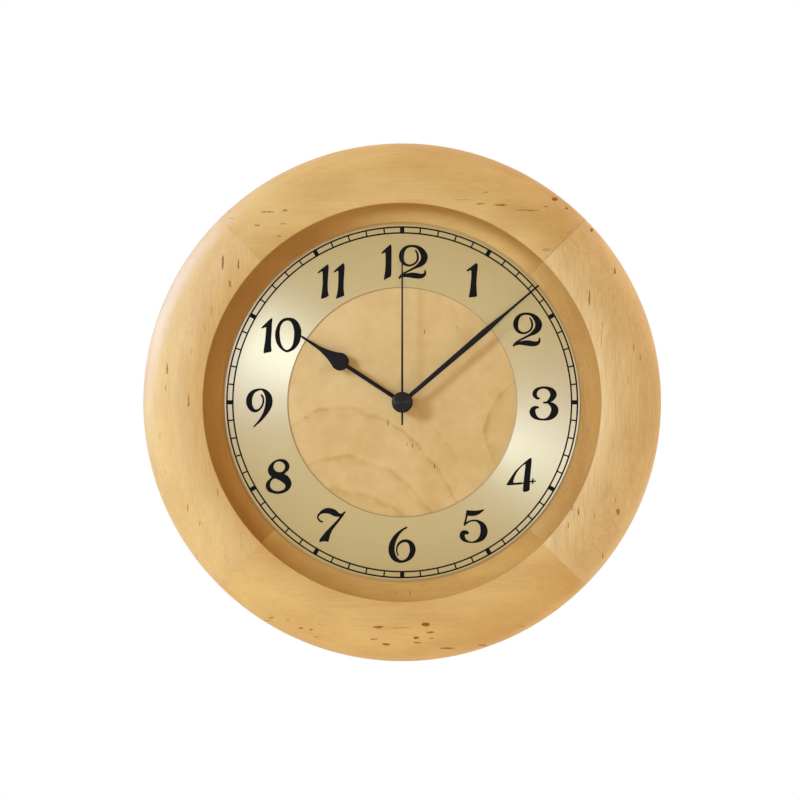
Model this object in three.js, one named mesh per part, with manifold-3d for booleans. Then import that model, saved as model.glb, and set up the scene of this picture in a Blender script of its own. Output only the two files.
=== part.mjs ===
// Round wooden wall clock with a quartz movement.
//
// Everything is drawn as seen from the front, in millimetres: x to the right, y up, and z from
// the wall towards the viewer, with the hands' axis at x = 0, y = 0. The last lines turn the
// whole clock upright (+Z up, front towards -Y) and put the origin where the wall nail holds it.

import * as THREE from 'three';
import { mergeVertices, toCreasedNormals } from 'three/addons/utils/BufferGeometryUtils.js';
import Module from 'manifold-3d';

const wasm = await Module();
wasm.setup();

// Clearances
const SEAT_GAP = 0.1;
const RUNNING_GAP = 0.3;
const PRESS_GAP = 0.06;

// Wooden frame, from the dial outwards
const DIAL_OPENING_RADIUS = 104.2;
const COVE_WIDTH = 10.8;
const ROLL_WIDTH = 7;
const ROLL_DROP = 0.9;
const SHOULDER_WIDTH = 28;
const SHOULDER_HEIGHT = 27;
const BACK_ROUND = 9;
const LIP_THICKNESS = 1.5;
const LIP_WIDTH = 7.8;
const LEDGE_WIDTH = 12;
const DIAL_SETBACK = 18;
const MITRE_GLUE = 0.2;
const DOWEL_RADIUS = 4;
const DOWEL_LENGTH = 24;

// Keyhole hanger plate, let into the back of the frame
const HANGER_WIDTH = 32;
const HANGER_HEIGHT = 13;
const HANGER_THICKNESS = 1.2;
const HANGER_RISE = 1.6;
const HANGER_RIM = 1.3;
const HANGER_CORNER = 2;
const NAIL_SLOT_RADIUS = 2.3;
const NAIL_HEAD_RADIUS = 4;
const NAIL_DROP = 4.6;
const NAIL_POCKET_DEPTH = 8;
const HANGER_SCREW_INSET = 4.5;
const SCREW_SINK = 0.15;

// Wood screws
const SCREW_HEAD_RADIUS = 2.6;
const SCREW_HEAD_DEPTH = 1.6;
const SCREW_SHANK_RADIUS = 1.2;
const SCREW_LENGTH = 11;
const SCREW_SLOT_WIDTH = 0.7;
const SCREW_SLOT_DEPTH = 0.8;

// Dial and the clips that hold it
const BOARD_THICKNESS = 4;
const RING_WIDTH = 36.6;
const RING_REVEAL = 1.4;
const RING_THICKNESS = 0.5;
const CLIP_LENGTH = 18;
const CLIP_WIDTH = 9;
const CLIP_THICKNESS = 1;
const CLIP_INSET = 1;
const CLIP_ANGLES = [60, 180, 300];

// Movement case
const MOVEMENT_WALL_GAP = 3.5;
const CASE_SIZE = 56;
const CASE_DEPTH = 15.5;
const CASE_WALL = 1.2;
const CASE_CORNER = 3;
const CELL_RADIUS = 7;
const CELL_LENGTH = 48.8;
const CELL_NUB_RADIUS = 2.7;
const CELL_NUB_LENGTH = 1.2;
const CONTACT_THICKNESS = 0.4;
const CONTACT_WIDTH = 6;
const CONTACT_TAIL = 2;
const SPRING_TIP = 2;

// Shafts and the bush they come through
const SECONDS_SHAFT_RADIUS = 0.45;
const TUBE_GAP = 0.16;
const MINUTE_TUBE_WALL = 1;
const HOUR_TUBE_WALL = 0.75;
const BUSH_RADIUS = 4;
const BUSH_FLANGE_RADIUS = 5.5;
const BUSH_FLANGE_THICKNESS = 1.1;
const NUT_ACROSS_FLATS = 10;
const NUT_SIDES = 6;
const NUT_THICKNESS = 2;
const FIXING_WASHER_RADIUS = 5.7;
const FIXING_WASHER_THICKNESS = 0.4;
const RUBBER_WASHER_RADIUS = 12;
const RUBBER_WASHER_THICKNESS = 0.8;

// Wheels: modules, tooth counts and thicknesses
const MOTOR_MODULE = 0.4;
const THIRD_MODULE = 0.37;
const MOTION_MODULE = 0.6;
const ROTOR_TEETH = 6;
const INTERMEDIATE_TEETH = 36;
const INTERMEDIATE_PINION_TEETH = 8;
const SECONDS_TEETH = 40;
const SECONDS_PINION_TEETH = 6;
const THIRD_TEETH = 45;
const THIRD_PINION_TEETH = 6;
const CENTRE_TEETH = 48;
const CANNON_TEETH = 10;
const MINUTE_TEETH = 30;
const MINUTE_PINION_TEETH = 8;
const HOUR_TEETH = 32;
const SETTING_TEETH = 8;
const WHEEL_THICKNESS = 0.8;
const LAYER_GAP = 0.4;
const MOTION_WHEEL_THICKNESS = 1.2;
const MOTION_GAP = 0.5;
const PLATE_THICKNESS = 1;
const ARBOR_RADIUS = 0.6;
const PIVOT_RADIUS = 0.35;
const HUB_RADIUS = 1.3;
const KNOB_RADIUS = 5.5;
const KNOB_HEIGHT = 2.4;
const KNOB_STEM_RADIUS = 1.2;
const KNOB_RIBS = 18;
const PEG_RADIUS = 1.1;
const POST_RADIUS = 1.8;

// Directions from one wheel's axis to the next, in degrees anticlockwise from the right
const INTERMEDIATE_DIRECTION = 45;
const ROTOR_DIRECTION = 20;
const THIRD_DIRECTION = 170;
const MINUTE_DIRECTION = 130;
const SETTING_DIRECTION = 120;

// Stepping motor and circuit
const MAGNET_RADIUS = 3;
const MAGNET_HEIGHT = 2.2;
const STATOR_THICKNESS = 0.8;
const STATOR_ARM_WIDTH = 3.4;
const STATOR_BRIDGE_HEIGHT = 9.2;
const STATOR_WAIST = 1.4;
const COIL_RISE = 11.3;
const COIL_SPAN = 18.4;
const CORE_THICKNESS = 0.8;
const CORE_WIDTH = 2.6;
const BOBBIN_WALL = 0.6;
const WINDING_RADIUS = 3.1;
const BOARD_WIDTH = 15.8;
const BOARD_HEIGHT = 14.6;
const CIRCUIT_THICKNESS = 1;
const CRYSTAL_RADIUS = 1;
const CRYSTAL_LENGTH = 6;
const CHIP_SIZE = 4.6;
const CHIP_THICKNESS = 1.1;

// Hands: angles are clockwise from twelve
const HOUR_HAND_ANGLE = 303.2;
const MINUTE_HAND_ANGLE = 49.4;
const SECOND_HAND_ANGLE = 0;
const HOUR_HAND_LENGTH = 70;
const MINUTE_TIP_MARGIN = 0.4;
const SECOND_HAND_LENGTH = 87;
const SECOND_TAIL_LENGTH = 13.2;
const HAND_THICKNESS = 0.5;
const SECOND_HAND_THICKNESS = 0.3;
const HOUR_HAND_HEIGHT = 5.6;
const HAND_SPACING = 2.4;
const HAND_BOSS_RIM = 1.2;
const SHAFT_PROUD = 0.7;
const COLLET_WALL = 0.8;
const COLLET_FLANGE = 0.9;
const COLLET_FLANGE_THICKNESS = 0.6;
const COLLET_SHOULDER = 0.4;
const COLLET_PROUD = 0.2;

// Hour hand: a rod, a drop with a round heel, and a needle
const ROD_HALF_WIDTH = 1.15;
const DROP_RADIUS = 5.15;
const DROP_CENTRE = 42.9;
const DROP_SHOULDER_ANGLE = 35;
const NEEDLE_START = 61;
const NEEDLE_HALF_WIDTH = 0.9;
const HOUR_TIP_HALF_WIDTH = 0.55;

// Minute hand: distance from the axis and half width, up to the tip
const MINUTE_HAND_SHAPE = [
  [0, 1.15], [52, 1.58], [62, 1.68], [68, 1.4], [74, 1.05], [79, 0.76], [84.5, 0.62],
];
const MINUTE_TIP_HALF_WIDTH = 0.5;

// Second hand and the cap over its centre
const SECOND_TAIL_HALF_WIDTH = 0.45;
const SECOND_HALF_WIDTH = 0.6;
const SECOND_TIP_HALF_WIDTH = 0.36;
const CAP_RADIUS = 6.1;
const CAP_HEIGHT = 2.2;
const CAP_EDGE = 0.9;

// How finely round pieces are divided
const RING_STEPS = 60;
const WASHER_STEPS = 24;
const PART_STEPS = 16;
const DETAIL_STEPS = 10;
const CORNER_STEPS = 3;

// Heights above the wall, one behind the other
const caseBack = MOVEMENT_WALL_GAP;
const caseFront = caseBack + CASE_DEPTH;
const boardBack = caseFront + RUBBER_WASHER_THICKNESS + 2 * SEAT_GAP;
const dialFront = boardBack + BOARD_THICKNESS;
const frameCrest = dialFront + DIAL_SETBACK;

// Radii of the frame
const coveTopRadius = DIAL_OPENING_RADIUS + COVE_WIDTH;
const crestRadius = coveTopRadius + ROLL_WIDTH;
const frameRadius = crestRadius + SHOULDER_WIDTH;
const rebateRadius = DIAL_OPENING_RADIUS + LIP_WIDTH;
const ledgeRadius = rebateRadius + LEDGE_WIDTH;
const hangerTop = ledgeRadius + HANGER_RISE + HANGER_HEIGHT;
const nailSeatY = hangerTop - HANGER_RIM - NAIL_SLOT_RADIUS;

const degrees = THREE.MathUtils.degToRad;
const polar = (radius, angle) => new THREE.Vector2(radius * Math.cos(angle), radius * Math.sin(angle));

// Solids: every shape is a closed three.js geometry that holds only its positions

function closed(geometry) {
  const bare = new THREE.BufferGeometry().setAttribute('position', geometry.getAttribute('position'));
  bare.setIndex(geometry.index);
  const merged = mergeVertices(bare, 1e-5);
  const corners = merged.index.array;
  const triangles = [];
  for (let i = 0; i < corners.length; i += 3) {
    const [a, b, c] = corners.slice(i, i + 3);
    if (a !== b && b !== c && c !== a) triangles.push(a, b, c);
  }
  merged.setIndex(triangles);
  if (toManifold(merged).volume() < 0) merged.setIndex(triangles.reverse());
  return merged;
}

function toManifold(geometry) {
  return new wasm.Manifold(new wasm.Mesh({
    numProp: 3,
    vertProperties: new Float32Array(geometry.getAttribute('position').array),
    triVerts: new Uint32Array(geometry.index.array),
  }));
}

function fromManifold(solid) {
  const mesh = solid.getMesh();
  const geometry = new THREE.BufferGeometry();
  geometry.setAttribute('position', new THREE.BufferAttribute(new Float32Array(mesh.vertProperties), 3));
  geometry.setIndex(new THREE.BufferAttribute(new Uint32Array(mesh.triVerts), 1));
  return geometry;
}

function union(...shapes) {
  return fromManifold(shapes.map(toManifold).reduce((sum, next) => sum.add(next)));
}

function cut(shape, ...tools) {
  return fromManifold(tools.map(toManifold).reduce((rest, tool) => rest.subtract(tool), toManifold(shape)));
}

function common(shape, other) {
  return fromManifold(toManifold(shape).intersect(toManifold(other)));
}

const at = (shape, x, y, z = 0) => shape.clone().translate(x, y, z);
const clockwise = (shape, angle) => shape.clone().rotateZ(-degrees(angle));
const alongX = (shape) => shape.clone().rotateY(Math.PI / 2);

// A round piece turned about the z axis from a closed outline of [radius, z] points
function turned(outline, steps = PART_STEPS) {
  const points = [...outline, outline[0]].map(([radius, z]) => new THREE.Vector2(radius, z));
  return closed(new THREE.LatheGeometry(points, steps).rotateX(Math.PI / 2));
}

function rod(radius, low, high, steps = PART_STEPS) {
  return turned([[0, low], [radius, low], [radius, high], [0, high]], steps);
}

function tube(inner, outer, low, high, steps = PART_STEPS) {
  return turned([[inner, low], [outer, low], [outer, high], [inner, high]], steps);
}

// A flat piece cut from a plate between two heights
function plate(outline, low, high) {
  const shape = new THREE.Shape(outline.map(([x, y]) => new THREE.Vector2(x, y)));
  const geometry = new THREE.ExtrudeGeometry(shape, { depth: high - low, bevelEnabled: false });
  return closed(geometry.translate(0, 0, low));
}

function block(x, y, z) {
  const geometry = new THREE.BoxGeometry(x[1] - x[0], y[1] - y[0], z[1] - z[0]);
  return closed(geometry.translate((x[0] + x[1]) / 2, (y[0] + y[1]) / 2, (z[0] + z[1]) / 2));
}

function roundedBox(halfWidth, halfHeight, corner, low, high) {
  const outline = [];
  for (const [quarter, x, y] of [[0, 1, 1], [1, -1, 1], [2, -1, -1], [3, 1, -1]]) {
    const centre = new THREE.Vector2(x * (halfWidth - corner), y * (halfHeight - corner));
    for (let i = 0; i <= CORNER_STEPS; i += 1) {
      outline.push(polar(corner, (quarter + i / CORNER_STEPS) * Math.PI / 2).add(centre).toArray());
    }
  }
  return plate(outline, low, high);
}

// The pieces

const clock = new THREE.Group();

const finishes = {
  beech: { color: '#d2aa6c', roughness: 0.38, metalness: 0 },
  birch: { color: '#d6b67c', roughness: 0.5, metalness: 0 },
  champagne: { color: '#cbb788', roughness: 0.32, metalness: 0.85 },
  black: { color: '#2c2a2b', roughness: 0.45, metalness: 0.2 },
  brass: { color: '#b8954a', roughness: 0.3, metalness: 1 },
  steel: { color: '#b9bcc0', roughness: 0.3, metalness: 1 },
  casePlastic: { color: '#232427', roughness: 0.5, metalness: 0 },
  wheelPlastic: { color: '#e9e6dc', roughness: 0.45, metalness: 0 },
  rubber: { color: '#1b1b1c', roughness: 0.85, metalness: 0 },
  copper: { color: '#b0632f', roughness: 0.35, metalness: 0.9 },
  circuit: { color: '#2f6b3c', roughness: 0.5, metalness: 0 },
  cellSleeve: { color: '#8a8f96', roughness: 0.35, metalness: 0.6 },
  magnet: { color: '#4a4b4f', roughness: 0.4, metalness: 0.7 },
};
const materials = Object.fromEntries(
  Object.entries(finishes).map(([name, finish]) => [name, new THREE.MeshStandardMaterial(finish)]));

function piece(name, shape, finish) {
  const mesh = new THREE.Mesh(toCreasedNormals(shape, degrees(35)), materials[finish]);
  mesh.name = name;
  clock.add(mesh);
  return mesh;
}

// Wood screws, drawn with the head at z = 0 and the point towards the viewer

function screwBody(gap) {
  const head = SCREW_HEAD_RADIUS + gap;
  const shank = SCREW_SHANK_RADIUS + gap;
  const length = SCREW_LENGTH + gap;
  const outline = [[0, -gap], [head, -gap], [head, 0], [shank, SCREW_HEAD_DEPTH],
    [shank, length - 2 * shank], [0, length]];
  return turned(outline, DETAIL_STEPS);
}

function woodScrew() {
  const long = [-SCREW_HEAD_RADIUS * 0.65, SCREW_HEAD_RADIUS * 0.65];
  const wide = [-SCREW_SLOT_WIDTH / 2, SCREW_SLOT_WIDTH / 2];
  const deep = [-1, SCREW_SLOT_DEPTH];
  return cut(screwBody(0), block(long, wide, deep), block(wide, long, deep));
}

// Frame: profile of the turned ring, anticlockwise from the inner edge of its back

function arcPoints(centreR, centreZ, radiusR, radiusZ, from, to, steps) {
  const points = [];
  for (let i = 0; i <= steps; i += 1) {
    const angle = degrees(from + (to - from) * i / steps);
    points.push([centreR + radiusR * Math.cos(angle), centreZ + radiusZ * Math.sin(angle)]);
  }
  return points;
}

const rollTurn = 2 * Math.atan(ROLL_DROP / ROLL_WIDTH);
const rollRadius = ROLL_WIDTH / Math.sin(rollTurn);
const coveBase = dialFront + SEAT_GAP + LIP_THICKNESS;
const coveTop = frameCrest - ROLL_DROP;

function coveCurve() {
  const height = coveTop - coveBase;
  const curve = new THREE.CubicBezierCurve(
    new THREE.Vector2(coveTopRadius, coveTop),
    new THREE.Vector2(coveTopRadius - 0.16 * COVE_WIDTH, coveTop - 0.38 * height),
    new THREE.Vector2(coveTopRadius - 0.56 * COVE_WIDTH, coveTop - 0.74 * height),
    new THREE.Vector2(DIAL_OPENING_RADIUS, coveBase));
  return curve.getPoints(4).slice(1).map((p) => [p.x, p.y]);
}

function frameProfile() {
  const flank = frameRadius - BACK_ROUND;
  return [
    [ledgeRadius, 0],
    ...arcPoints(flank, BACK_ROUND, BACK_ROUND, BACK_ROUND, -90, 0, 3),
    ...arcPoints(crestRadius, frameCrest - SHOULDER_HEIGHT, SHOULDER_WIDTH, SHOULDER_HEIGHT, 0, 90, 8),
    ...arcPoints(crestRadius, frameCrest - rollRadius, rollRadius, rollRadius,
      90, 90 + THREE.MathUtils.radToDeg(rollTurn), 2).slice(1),
    ...coveCurve(),
    [DIAL_OPENING_RADIUS, dialFront + SEAT_GAP],
    [rebateRadius, dialFront + SEAT_GAP],
    [rebateRadius, boardBack],
    [ledgeRadius, boardBack],
  ];
}

// Dowels lie across each mitre, midway through the wood
const dowelRadius = (ledgeRadius + frameRadius) / 2;
const dowelHeight = boardBack - DOWEL_RADIUS;
const mitreAngles = { ne: 45, se: 135, sw: 225, nw: 315 };

function dowel(gap, clockAngle) {
  const half = DOWEL_LENGTH / 2 + gap;
  const bar = alongX(rod(DOWEL_RADIUS + gap, -half, half, DETAIL_STEPS));
  return clockwise(at(bar, 0, dowelRadius, dowelHeight), clockAngle);
}

// The hanger plate's slot lets the clock drop onto the nail
const hangerCentreY = hangerTop - HANGER_HEIGHT / 2;

function hangerRecess() {
  const halfWidth = HANGER_WIDTH / 2 + SEAT_GAP;
  const halfHeight = HANGER_HEIGHT / 2 + SEAT_GAP;
  const acrossRecess = [hangerCentreY - halfHeight, hangerCentreY + halfHeight];
  const pocketHalf = NAIL_HEAD_RADIUS + 1;
  return union(
    block([-halfWidth, halfWidth], acrossRecess, [-1, HANGER_THICKNESS + 2 * SEAT_GAP]),
    block([-pocketHalf, pocketHalf], acrossRecess, [-1, NAIL_POCKET_DEPTH]));
}

function keyhole() {
  const headY = nailSeatY - NAIL_DROP;
  const through = [-1, HANGER_THICKNESS + 1];
  return union(
    at(rod(NAIL_HEAD_RADIUS, ...through), 0, headY),
    at(rod(NAIL_SLOT_RADIUS, ...through), 0, nailSeatY),
    block([-NAIL_SLOT_RADIUS, NAIL_SLOT_RADIUS], [headY, nailSeatY], through));
}

const hangerScrewX = HANGER_WIDTH / 2 - HANGER_SCREW_INSET;
const hangerScrews = { left: -hangerScrewX, right: hangerScrewX };
const hangerBack = SEAT_GAP;

function hangerScrewAt(shape, side) {
  return at(shape, hangerScrews[side], hangerCentreY, hangerBack + SCREW_SINK);
}

// Clips lie on the ledge and reach over the edge of the dial board
const clipMiddle = ledgeRadius - CLIP_INSET - CLIP_LENGTH / 2;
const clipScrewRadius = (rebateRadius + ledgeRadius) / 2;
const clipFront = boardBack - SEAT_GAP;
const clipBack = clipFront - CLIP_THICKNESS;

function clipScrewAt(shape, clockAngle) {
  return clockwise(at(shape, 0, clipScrewRadius, clipBack + SCREW_SINK), clockAngle);
}

function frameSegments() {
  const ring = cut(turned(frameProfile(), RING_STEPS),
    hangerRecess(),
    ...Object.keys(hangerScrews).map((side) => hangerScrewAt(screwBody(SEAT_GAP), side)),
    ...Object.values(mitreAngles).map((angle) => dowel(SEAT_GAP, angle)),
    ...CLIP_ANGLES.map((angle) => clipScrewAt(screwBody(SEAT_GAP), angle)));
  const reach = 2 * frameRadius;
  const apex = MITRE_GLUE * Math.SQRT1_2;
  const corners = [[0, apex], [reach, apex + reach], [-reach, apex + reach]];
  const wedge = plate(corners, -1, frameCrest + 1);
  ['top', 'right', 'bottom', 'left'].forEach((side, quarter) => {
    piece(`frame_segment_${side}`, common(ring, clockwise(wedge, 90 * quarter)), 'beech');
  });
  for (const [corner, angle] of Object.entries(mitreAngles)) {
    piece(`mitre_dowel_${corner}`, dowel(0, angle), 'birch');
  }
}

function hanger() {
  const sides = Object.keys(hangerScrews);
  const strip = roundedBox(HANGER_WIDTH / 2, HANGER_HEIGHT / 2, HANGER_CORNER, hangerBack,
    hangerBack + HANGER_THICKNESS);
  const screwHoles = sides.map((side) => hangerScrewAt(screwBody(SEAT_GAP), side));
  piece('hanger_plate', cut(at(strip, 0, hangerCentreY), keyhole(), ...screwHoles), 'steel');
  for (const side of sides) {
    piece(`hanger_screw_${side}`, hangerScrewAt(woodScrew(), side), 'steel');
  }
}

// Dial board, metal chapter ring and retaining clips

const ringOuter = DIAL_OPENING_RADIUS - RING_REVEAL;
const ringInner = ringOuter - RING_WIDTH;
const ringBack = dialFront + SEAT_GAP;
const ringFront = ringBack + RING_THICKNESS;

function dial() {
  piece('dial_board', tube(BUSH_RADIUS + RUNNING_GAP, rebateRadius - RUNNING_GAP, boardBack, dialFront,
    RING_STEPS), 'birch');
  piece('dial_ring', tube(ringInner, ringOuter, ringBack, ringFront, RING_STEPS), 'champagne');
  const endRadius = CLIP_WIDTH / 2 - SEAT_GAP;
  const flat = roundedBox(CLIP_WIDTH / 2, CLIP_LENGTH / 2, endRadius, clipBack, clipFront);
  const strip = at(flat, 0, clipMiddle);
  CLIP_ANGLES.forEach((angle, i) => {
    const clip = cut(clockwise(strip, angle), clipScrewAt(screwBody(SEAT_GAP), angle));
    piece(`dial_clip_${i + 1}`, clip, 'steel');
    piece(`dial_clip_screw_${i + 1}`, clipScrewAt(woodScrew(), angle), 'steel');
  });
}

// Shaft radii, each tube outside the next
const minuteTubeInner = SECONDS_SHAFT_RADIUS + TUBE_GAP;
const minuteTubeOuter = minuteTubeInner + MINUTE_TUBE_WALL;
const clutchRadius = minuteTubeInner + MINUTE_TUBE_WALL / 2;
const hourTubeInner = minuteTubeOuter + TUBE_GAP;
const hourTubeOuter = hourTubeInner + HOUR_TUBE_WALL;
const bushInner = hourTubeOuter + 1.5 * TUBE_GAP;

// Heights of the wheels inside the case, from the back cover forwards
const coverFront = caseBack + CASE_WALL;
const chamberFront = caseFront - CASE_WALL;
const layerPitch = WHEEL_THICKNESS + LAYER_GAP;
const layerBack = (layer) => coverFront + LAYER_GAP + layer * layerPitch;
const trainPlateBack = layerBack(4);
const trainPlateFront = trainPlateBack + PLATE_THICKNESS;
const motionPitch = MOTION_WHEEL_THICKNESS + MOTION_GAP;
const motionBack = (layer) => trainPlateFront + MOTION_GAP + layer * motionPitch;
const motionFront = motionBack(2);
const flangeFront = chamberFront - SEAT_GAP;
const flangeBack = flangeFront - BUSH_FLANGE_THICKNESS;

// Axes of the wheels, each at its gears' centre distance
const meshDistance = (module, teethA, teethB) => module * (teethA + teethB) / 2;
const secondsDistance = meshDistance(MOTOR_MODULE, INTERMEDIATE_PINION_TEETH, SECONDS_TEETH);
const rotorDistance = meshDistance(MOTOR_MODULE, ROTOR_TEETH, INTERMEDIATE_TEETH);
const thirdDistance = meshDistance(THIRD_MODULE, SECONDS_PINION_TEETH, THIRD_TEETH);
const centreModule = 2 * thirdDistance / (THIRD_PINION_TEETH + CENTRE_TEETH);
const minuteDistance = meshDistance(MOTION_MODULE, CANNON_TEETH, MINUTE_TEETH);
const hourModule = 2 * minuteDistance / (MINUTE_PINION_TEETH + HOUR_TEETH);
const settingDistance = meshDistance(MOTION_MODULE, SETTING_TEETH, MINUTE_TEETH);

const centreAxis = new THREE.Vector2(0, 0);
const intermediateAxis = polar(secondsDistance, degrees(INTERMEDIATE_DIRECTION));
const rotorAxis = intermediateAxis.clone().add(polar(rotorDistance, degrees(ROTOR_DIRECTION)));
const thirdAxis = polar(thirdDistance, degrees(THIRD_DIRECTION));
const minuteAxis = polar(minuteDistance, degrees(MINUTE_DIRECTION));
const settingAxis = minuteAxis.clone().add(polar(settingDistance, degrees(SETTING_DIRECTION)));

// Teeth: [modules outside the pitch circle, share of the tooth pitch] along one tooth
const WHEEL_TOOTH = [[-1, -0.27], [0.75, -0.1], [0.75, 0.1], [-1, 0.27]];
const PINION_TOOTH = [[-1, -0.22], [0.1, -0.17], [0.8, -0.07], [0.8, 0.07], [0.1, 0.17], [-1, 0.22]];
const KNOB_RIB = [[-0.6, -0.3], [0, -0.2], [0, 0.2], [-0.6, 0.3]];

function toothed(teeth, module, phase, tooth, low, high) {
  const pitch = 2 * Math.PI / teeth;
  const pitchRadius = teeth * module / 2;
  const outline = [];
  for (let i = 0; i < teeth; i += 1) {
    for (const [rise, share] of tooth) {
      outline.push(polar(pitchRadius + rise * module, phase + (i + share) * pitch).toArray());
    }
  }
  return plate(outline, low, high);
}

function wheel(teeth, module, phase, low, high) {
  return toothed(teeth, module, phase, WHEEL_TOOTH, low, high);
}

function pinion(teeth, module, phase, low, high) {
  return toothed(teeth, module, phase, PINION_TOOTH, low, high);
}

// Phase that puts a gap of gear B against a tooth of gear A, which lies in the given direction
function meshPhase(direction, teethA, phaseA, teethB) {
  return direction + Math.PI + Math.PI / teethB + (direction - phaseA) * teethA / teethB;
}

function arborWith(axis, low, high, ...wheels) {
  const thick = [low + CASE_WALL, high - PLATE_THICKNESS];
  const outline = [[0, low], [PIVOT_RADIUS, low], [PIVOT_RADIUS, thick[0]], [ARBOR_RADIUS, thick[0]],
    [ARBOR_RADIUS, thick[1]], [PIVOT_RADIUS, thick[1]], [PIVOT_RADIUS, high], [0, high]];
  return at(union(turned(outline, DETAIL_STEPS), ...wheels), axis.x, axis.y);
}

// Pivots turn in blind holes in the cover and through holes in the train plate
const pivotHole = PIVOT_RADIUS + TUBE_GAP;
const coverPivot = caseBack + CASE_WALL / 2;
const platePivot = trainPlateFront - 2 * SEAT_GAP;
const knobHoleRadius = KNOB_STEM_RADIUS + RUNNING_GAP;

// Battery bay below the wheel chamber
const caseHalf = CASE_SIZE / 2;
const chamberHalf = caseHalf - CASE_WALL;
const bayTop = -chamberHalf + 2 * CELL_RADIUS + 2 * RUNNING_GAP;
const chamberBottom = bayTop + CASE_WALL;
const cellY = -chamberHalf + CELL_RADIUS + RUNNING_GAP;
const cellZ = chamberFront - CELL_RADIUS - RUNNING_GAP;
const contactInner = chamberHalf - RUNNING_GAP - CONTACT_THICKNESS;
const cellPlusEnd = contactInner - RUNNING_GAP;
const cellShoulder = cellPlusEnd - CELL_NUB_LENGTH;
const cellMinusEnd = cellShoulder - CELL_LENGTH;

// Circuit board in the lower right of the chamber, its contact tails over its edges
const circuitBack = layerBack(1) + SEAT_GAP;
const circuitFront = circuitBack + CIRCUIT_THICKNESS;
const circuitRight = chamberHalf - RUNNING_GAP;
const circuitBottom = chamberBottom + RUNNING_GAP;
const tailBack = circuitFront + SEAT_GAP;
const tailFront = tailBack + CONTACT_TAIL;
const circuitCentre = new THREE.Vector2(circuitRight - BOARD_WIDTH / 2, circuitBottom + BOARD_HEIGHT / 2);

// Motor: stator round the rotor magnet, with the coil on a core across its arms
const statorBack = layerBack(2) + RUNNING_GAP;
const statorFront = statorBack + STATOR_THICKNESS;
const coreBack = statorFront + SEAT_GAP;
const coreMiddle = coreBack + CORE_THICKNESS / 2;
const coilY = rotorAxis.y + COIL_RISE;
const statorPegs = [-1, 1].map((side) => [rotorAxis.x + side * COIL_SPAN / 2, coilY]);
const circuitPegs = [-1, 1].map((side) => [circuitCentre.x + side * BOARD_WIDTH / 3, circuitCentre.y]);

// Posts and bosses on the case's front wall
const trainPlateTop = coilY - WINDING_RADIUS - 2 * RUNNING_GAP - CASE_WALL;
const postX = chamberHalf - POST_RADIUS - CASE_WALL;
const postLow = chamberBottom + POST_RADIUS + CASE_WALL;
const postHigh = trainPlateTop - POST_RADIUS - RUNNING_GAP;
const platePosts = [[-postX, postLow], [postX, postLow], [-postX, postHigh], [postX, postHigh]];
const bossBack = motionFront + RUNNING_GAP;

// A slim pin or hole of the movement, standing at one of the axes or pegs
function pinAt(place, radius, low, high) {
  return at(rod(radius, low, high, DETAIL_STEPS), place.x, place.y);
}

function movementCase() {
  const acrossX = [-chamberHalf, chamberHalf];
  const depth = [caseBack - 1, chamberFront];
  const shell = cut(roundedBox(caseHalf, caseHalf, CASE_CORNER, caseBack, caseFront),
    block(acrossX, [chamberBottom, chamberHalf], depth),
    block(acrossX, [-chamberHalf, bayTop], depth));
  const wallMiddle = caseFront - CASE_WALL / 2;
  const postBack = trainPlateFront + SEAT_GAP;
  const posts = platePosts.map(([x, y]) => pinAt({ x, y }, POST_RADIUS, postBack, wallMiddle));
  const bossAxes = [minuteAxis, settingAxis];
  const bosses = bossAxes.map((axis) => pinAt(axis, POST_RADIUS, bossBack, wallMiddle));
  const bossHoles = bossAxes.map((axis) => pinAt(axis, pivotHole, bossBack - 1, chamberFront));
  const notchInner = contactInner - RUNNING_GAP;
  const notches = [[-chamberHalf, -notchInner], [notchInner, chamberHalf]].map((x) =>
    block(x, [bayTop - 1, chamberBottom + 1], [tailBack - RUNNING_GAP, tailFront + RUNNING_GAP]));
  const bushHole = rod(BUSH_RADIUS + SEAT_GAP, chamberFront - 1, caseFront + 1);
  const solid = union(shell, ...posts, ...bosses);
  piece('movement_case', cut(solid, ...bossHoles, ...notches, bushHole), 'casePlastic');
}

function movementCover() {
  const edge = chamberHalf - RUNNING_GAP / 2;
  const bottom = chamberBottom + RUNNING_GAP / 2;
  const pegs = [
    ...statorPegs.map(([x, y]) => pinAt({ x, y }, PEG_RADIUS, coverPivot, statorBack - SEAT_GAP)),
    ...circuitPegs.map(([x, y]) => pinAt({ x, y }, PEG_RADIUS, coverPivot, circuitBack - SEAT_GAP)),
  ];
  const pivotHoles = [centreAxis, intermediateAxis, rotorAxis, thirdAxis].map((axis) =>
    pinAt(axis, pivotHole, coverPivot, coverFront + 1));
  const knobHole = pinAt(settingAxis, knobHoleRadius, caseBack - 1, coverFront + 1);
  const lid = union(block([-edge, edge], [bottom, edge], [caseBack, coverFront]), ...pegs);
  piece('movement_cover', cut(lid, ...pivotHoles, knobHole), 'casePlastic');
}

function trainPlate() {
  const edge = chamberHalf - RUNNING_GAP;
  const through = [trainPlateBack - 1, trainPlateFront + 1];
  const pivotHoles = [intermediateAxis, rotorAxis, thirdAxis, minuteAxis].map((axis) =>
    pinAt(axis, pivotHole, ...through));
  const sheet = block([-edge, edge], [chamberBottom + RUNNING_GAP, trainPlateTop],
    [trainPlateBack, trainPlateFront]);
  const clutchHole = rod(clutchRadius + RUNNING_GAP, ...through);
  piece('train_plate', cut(sheet, clutchHole, ...pivotHoles), 'wheelPlastic');
}

// Bush, nut and washers that clamp the movement to the dial board
const washerBack = dialFront + SEAT_GAP;
const nutBack = washerBack + FIXING_WASHER_THICKNESS + SEAT_GAP;
const nutFront = nutBack + NUT_THICKNESS;

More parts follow.
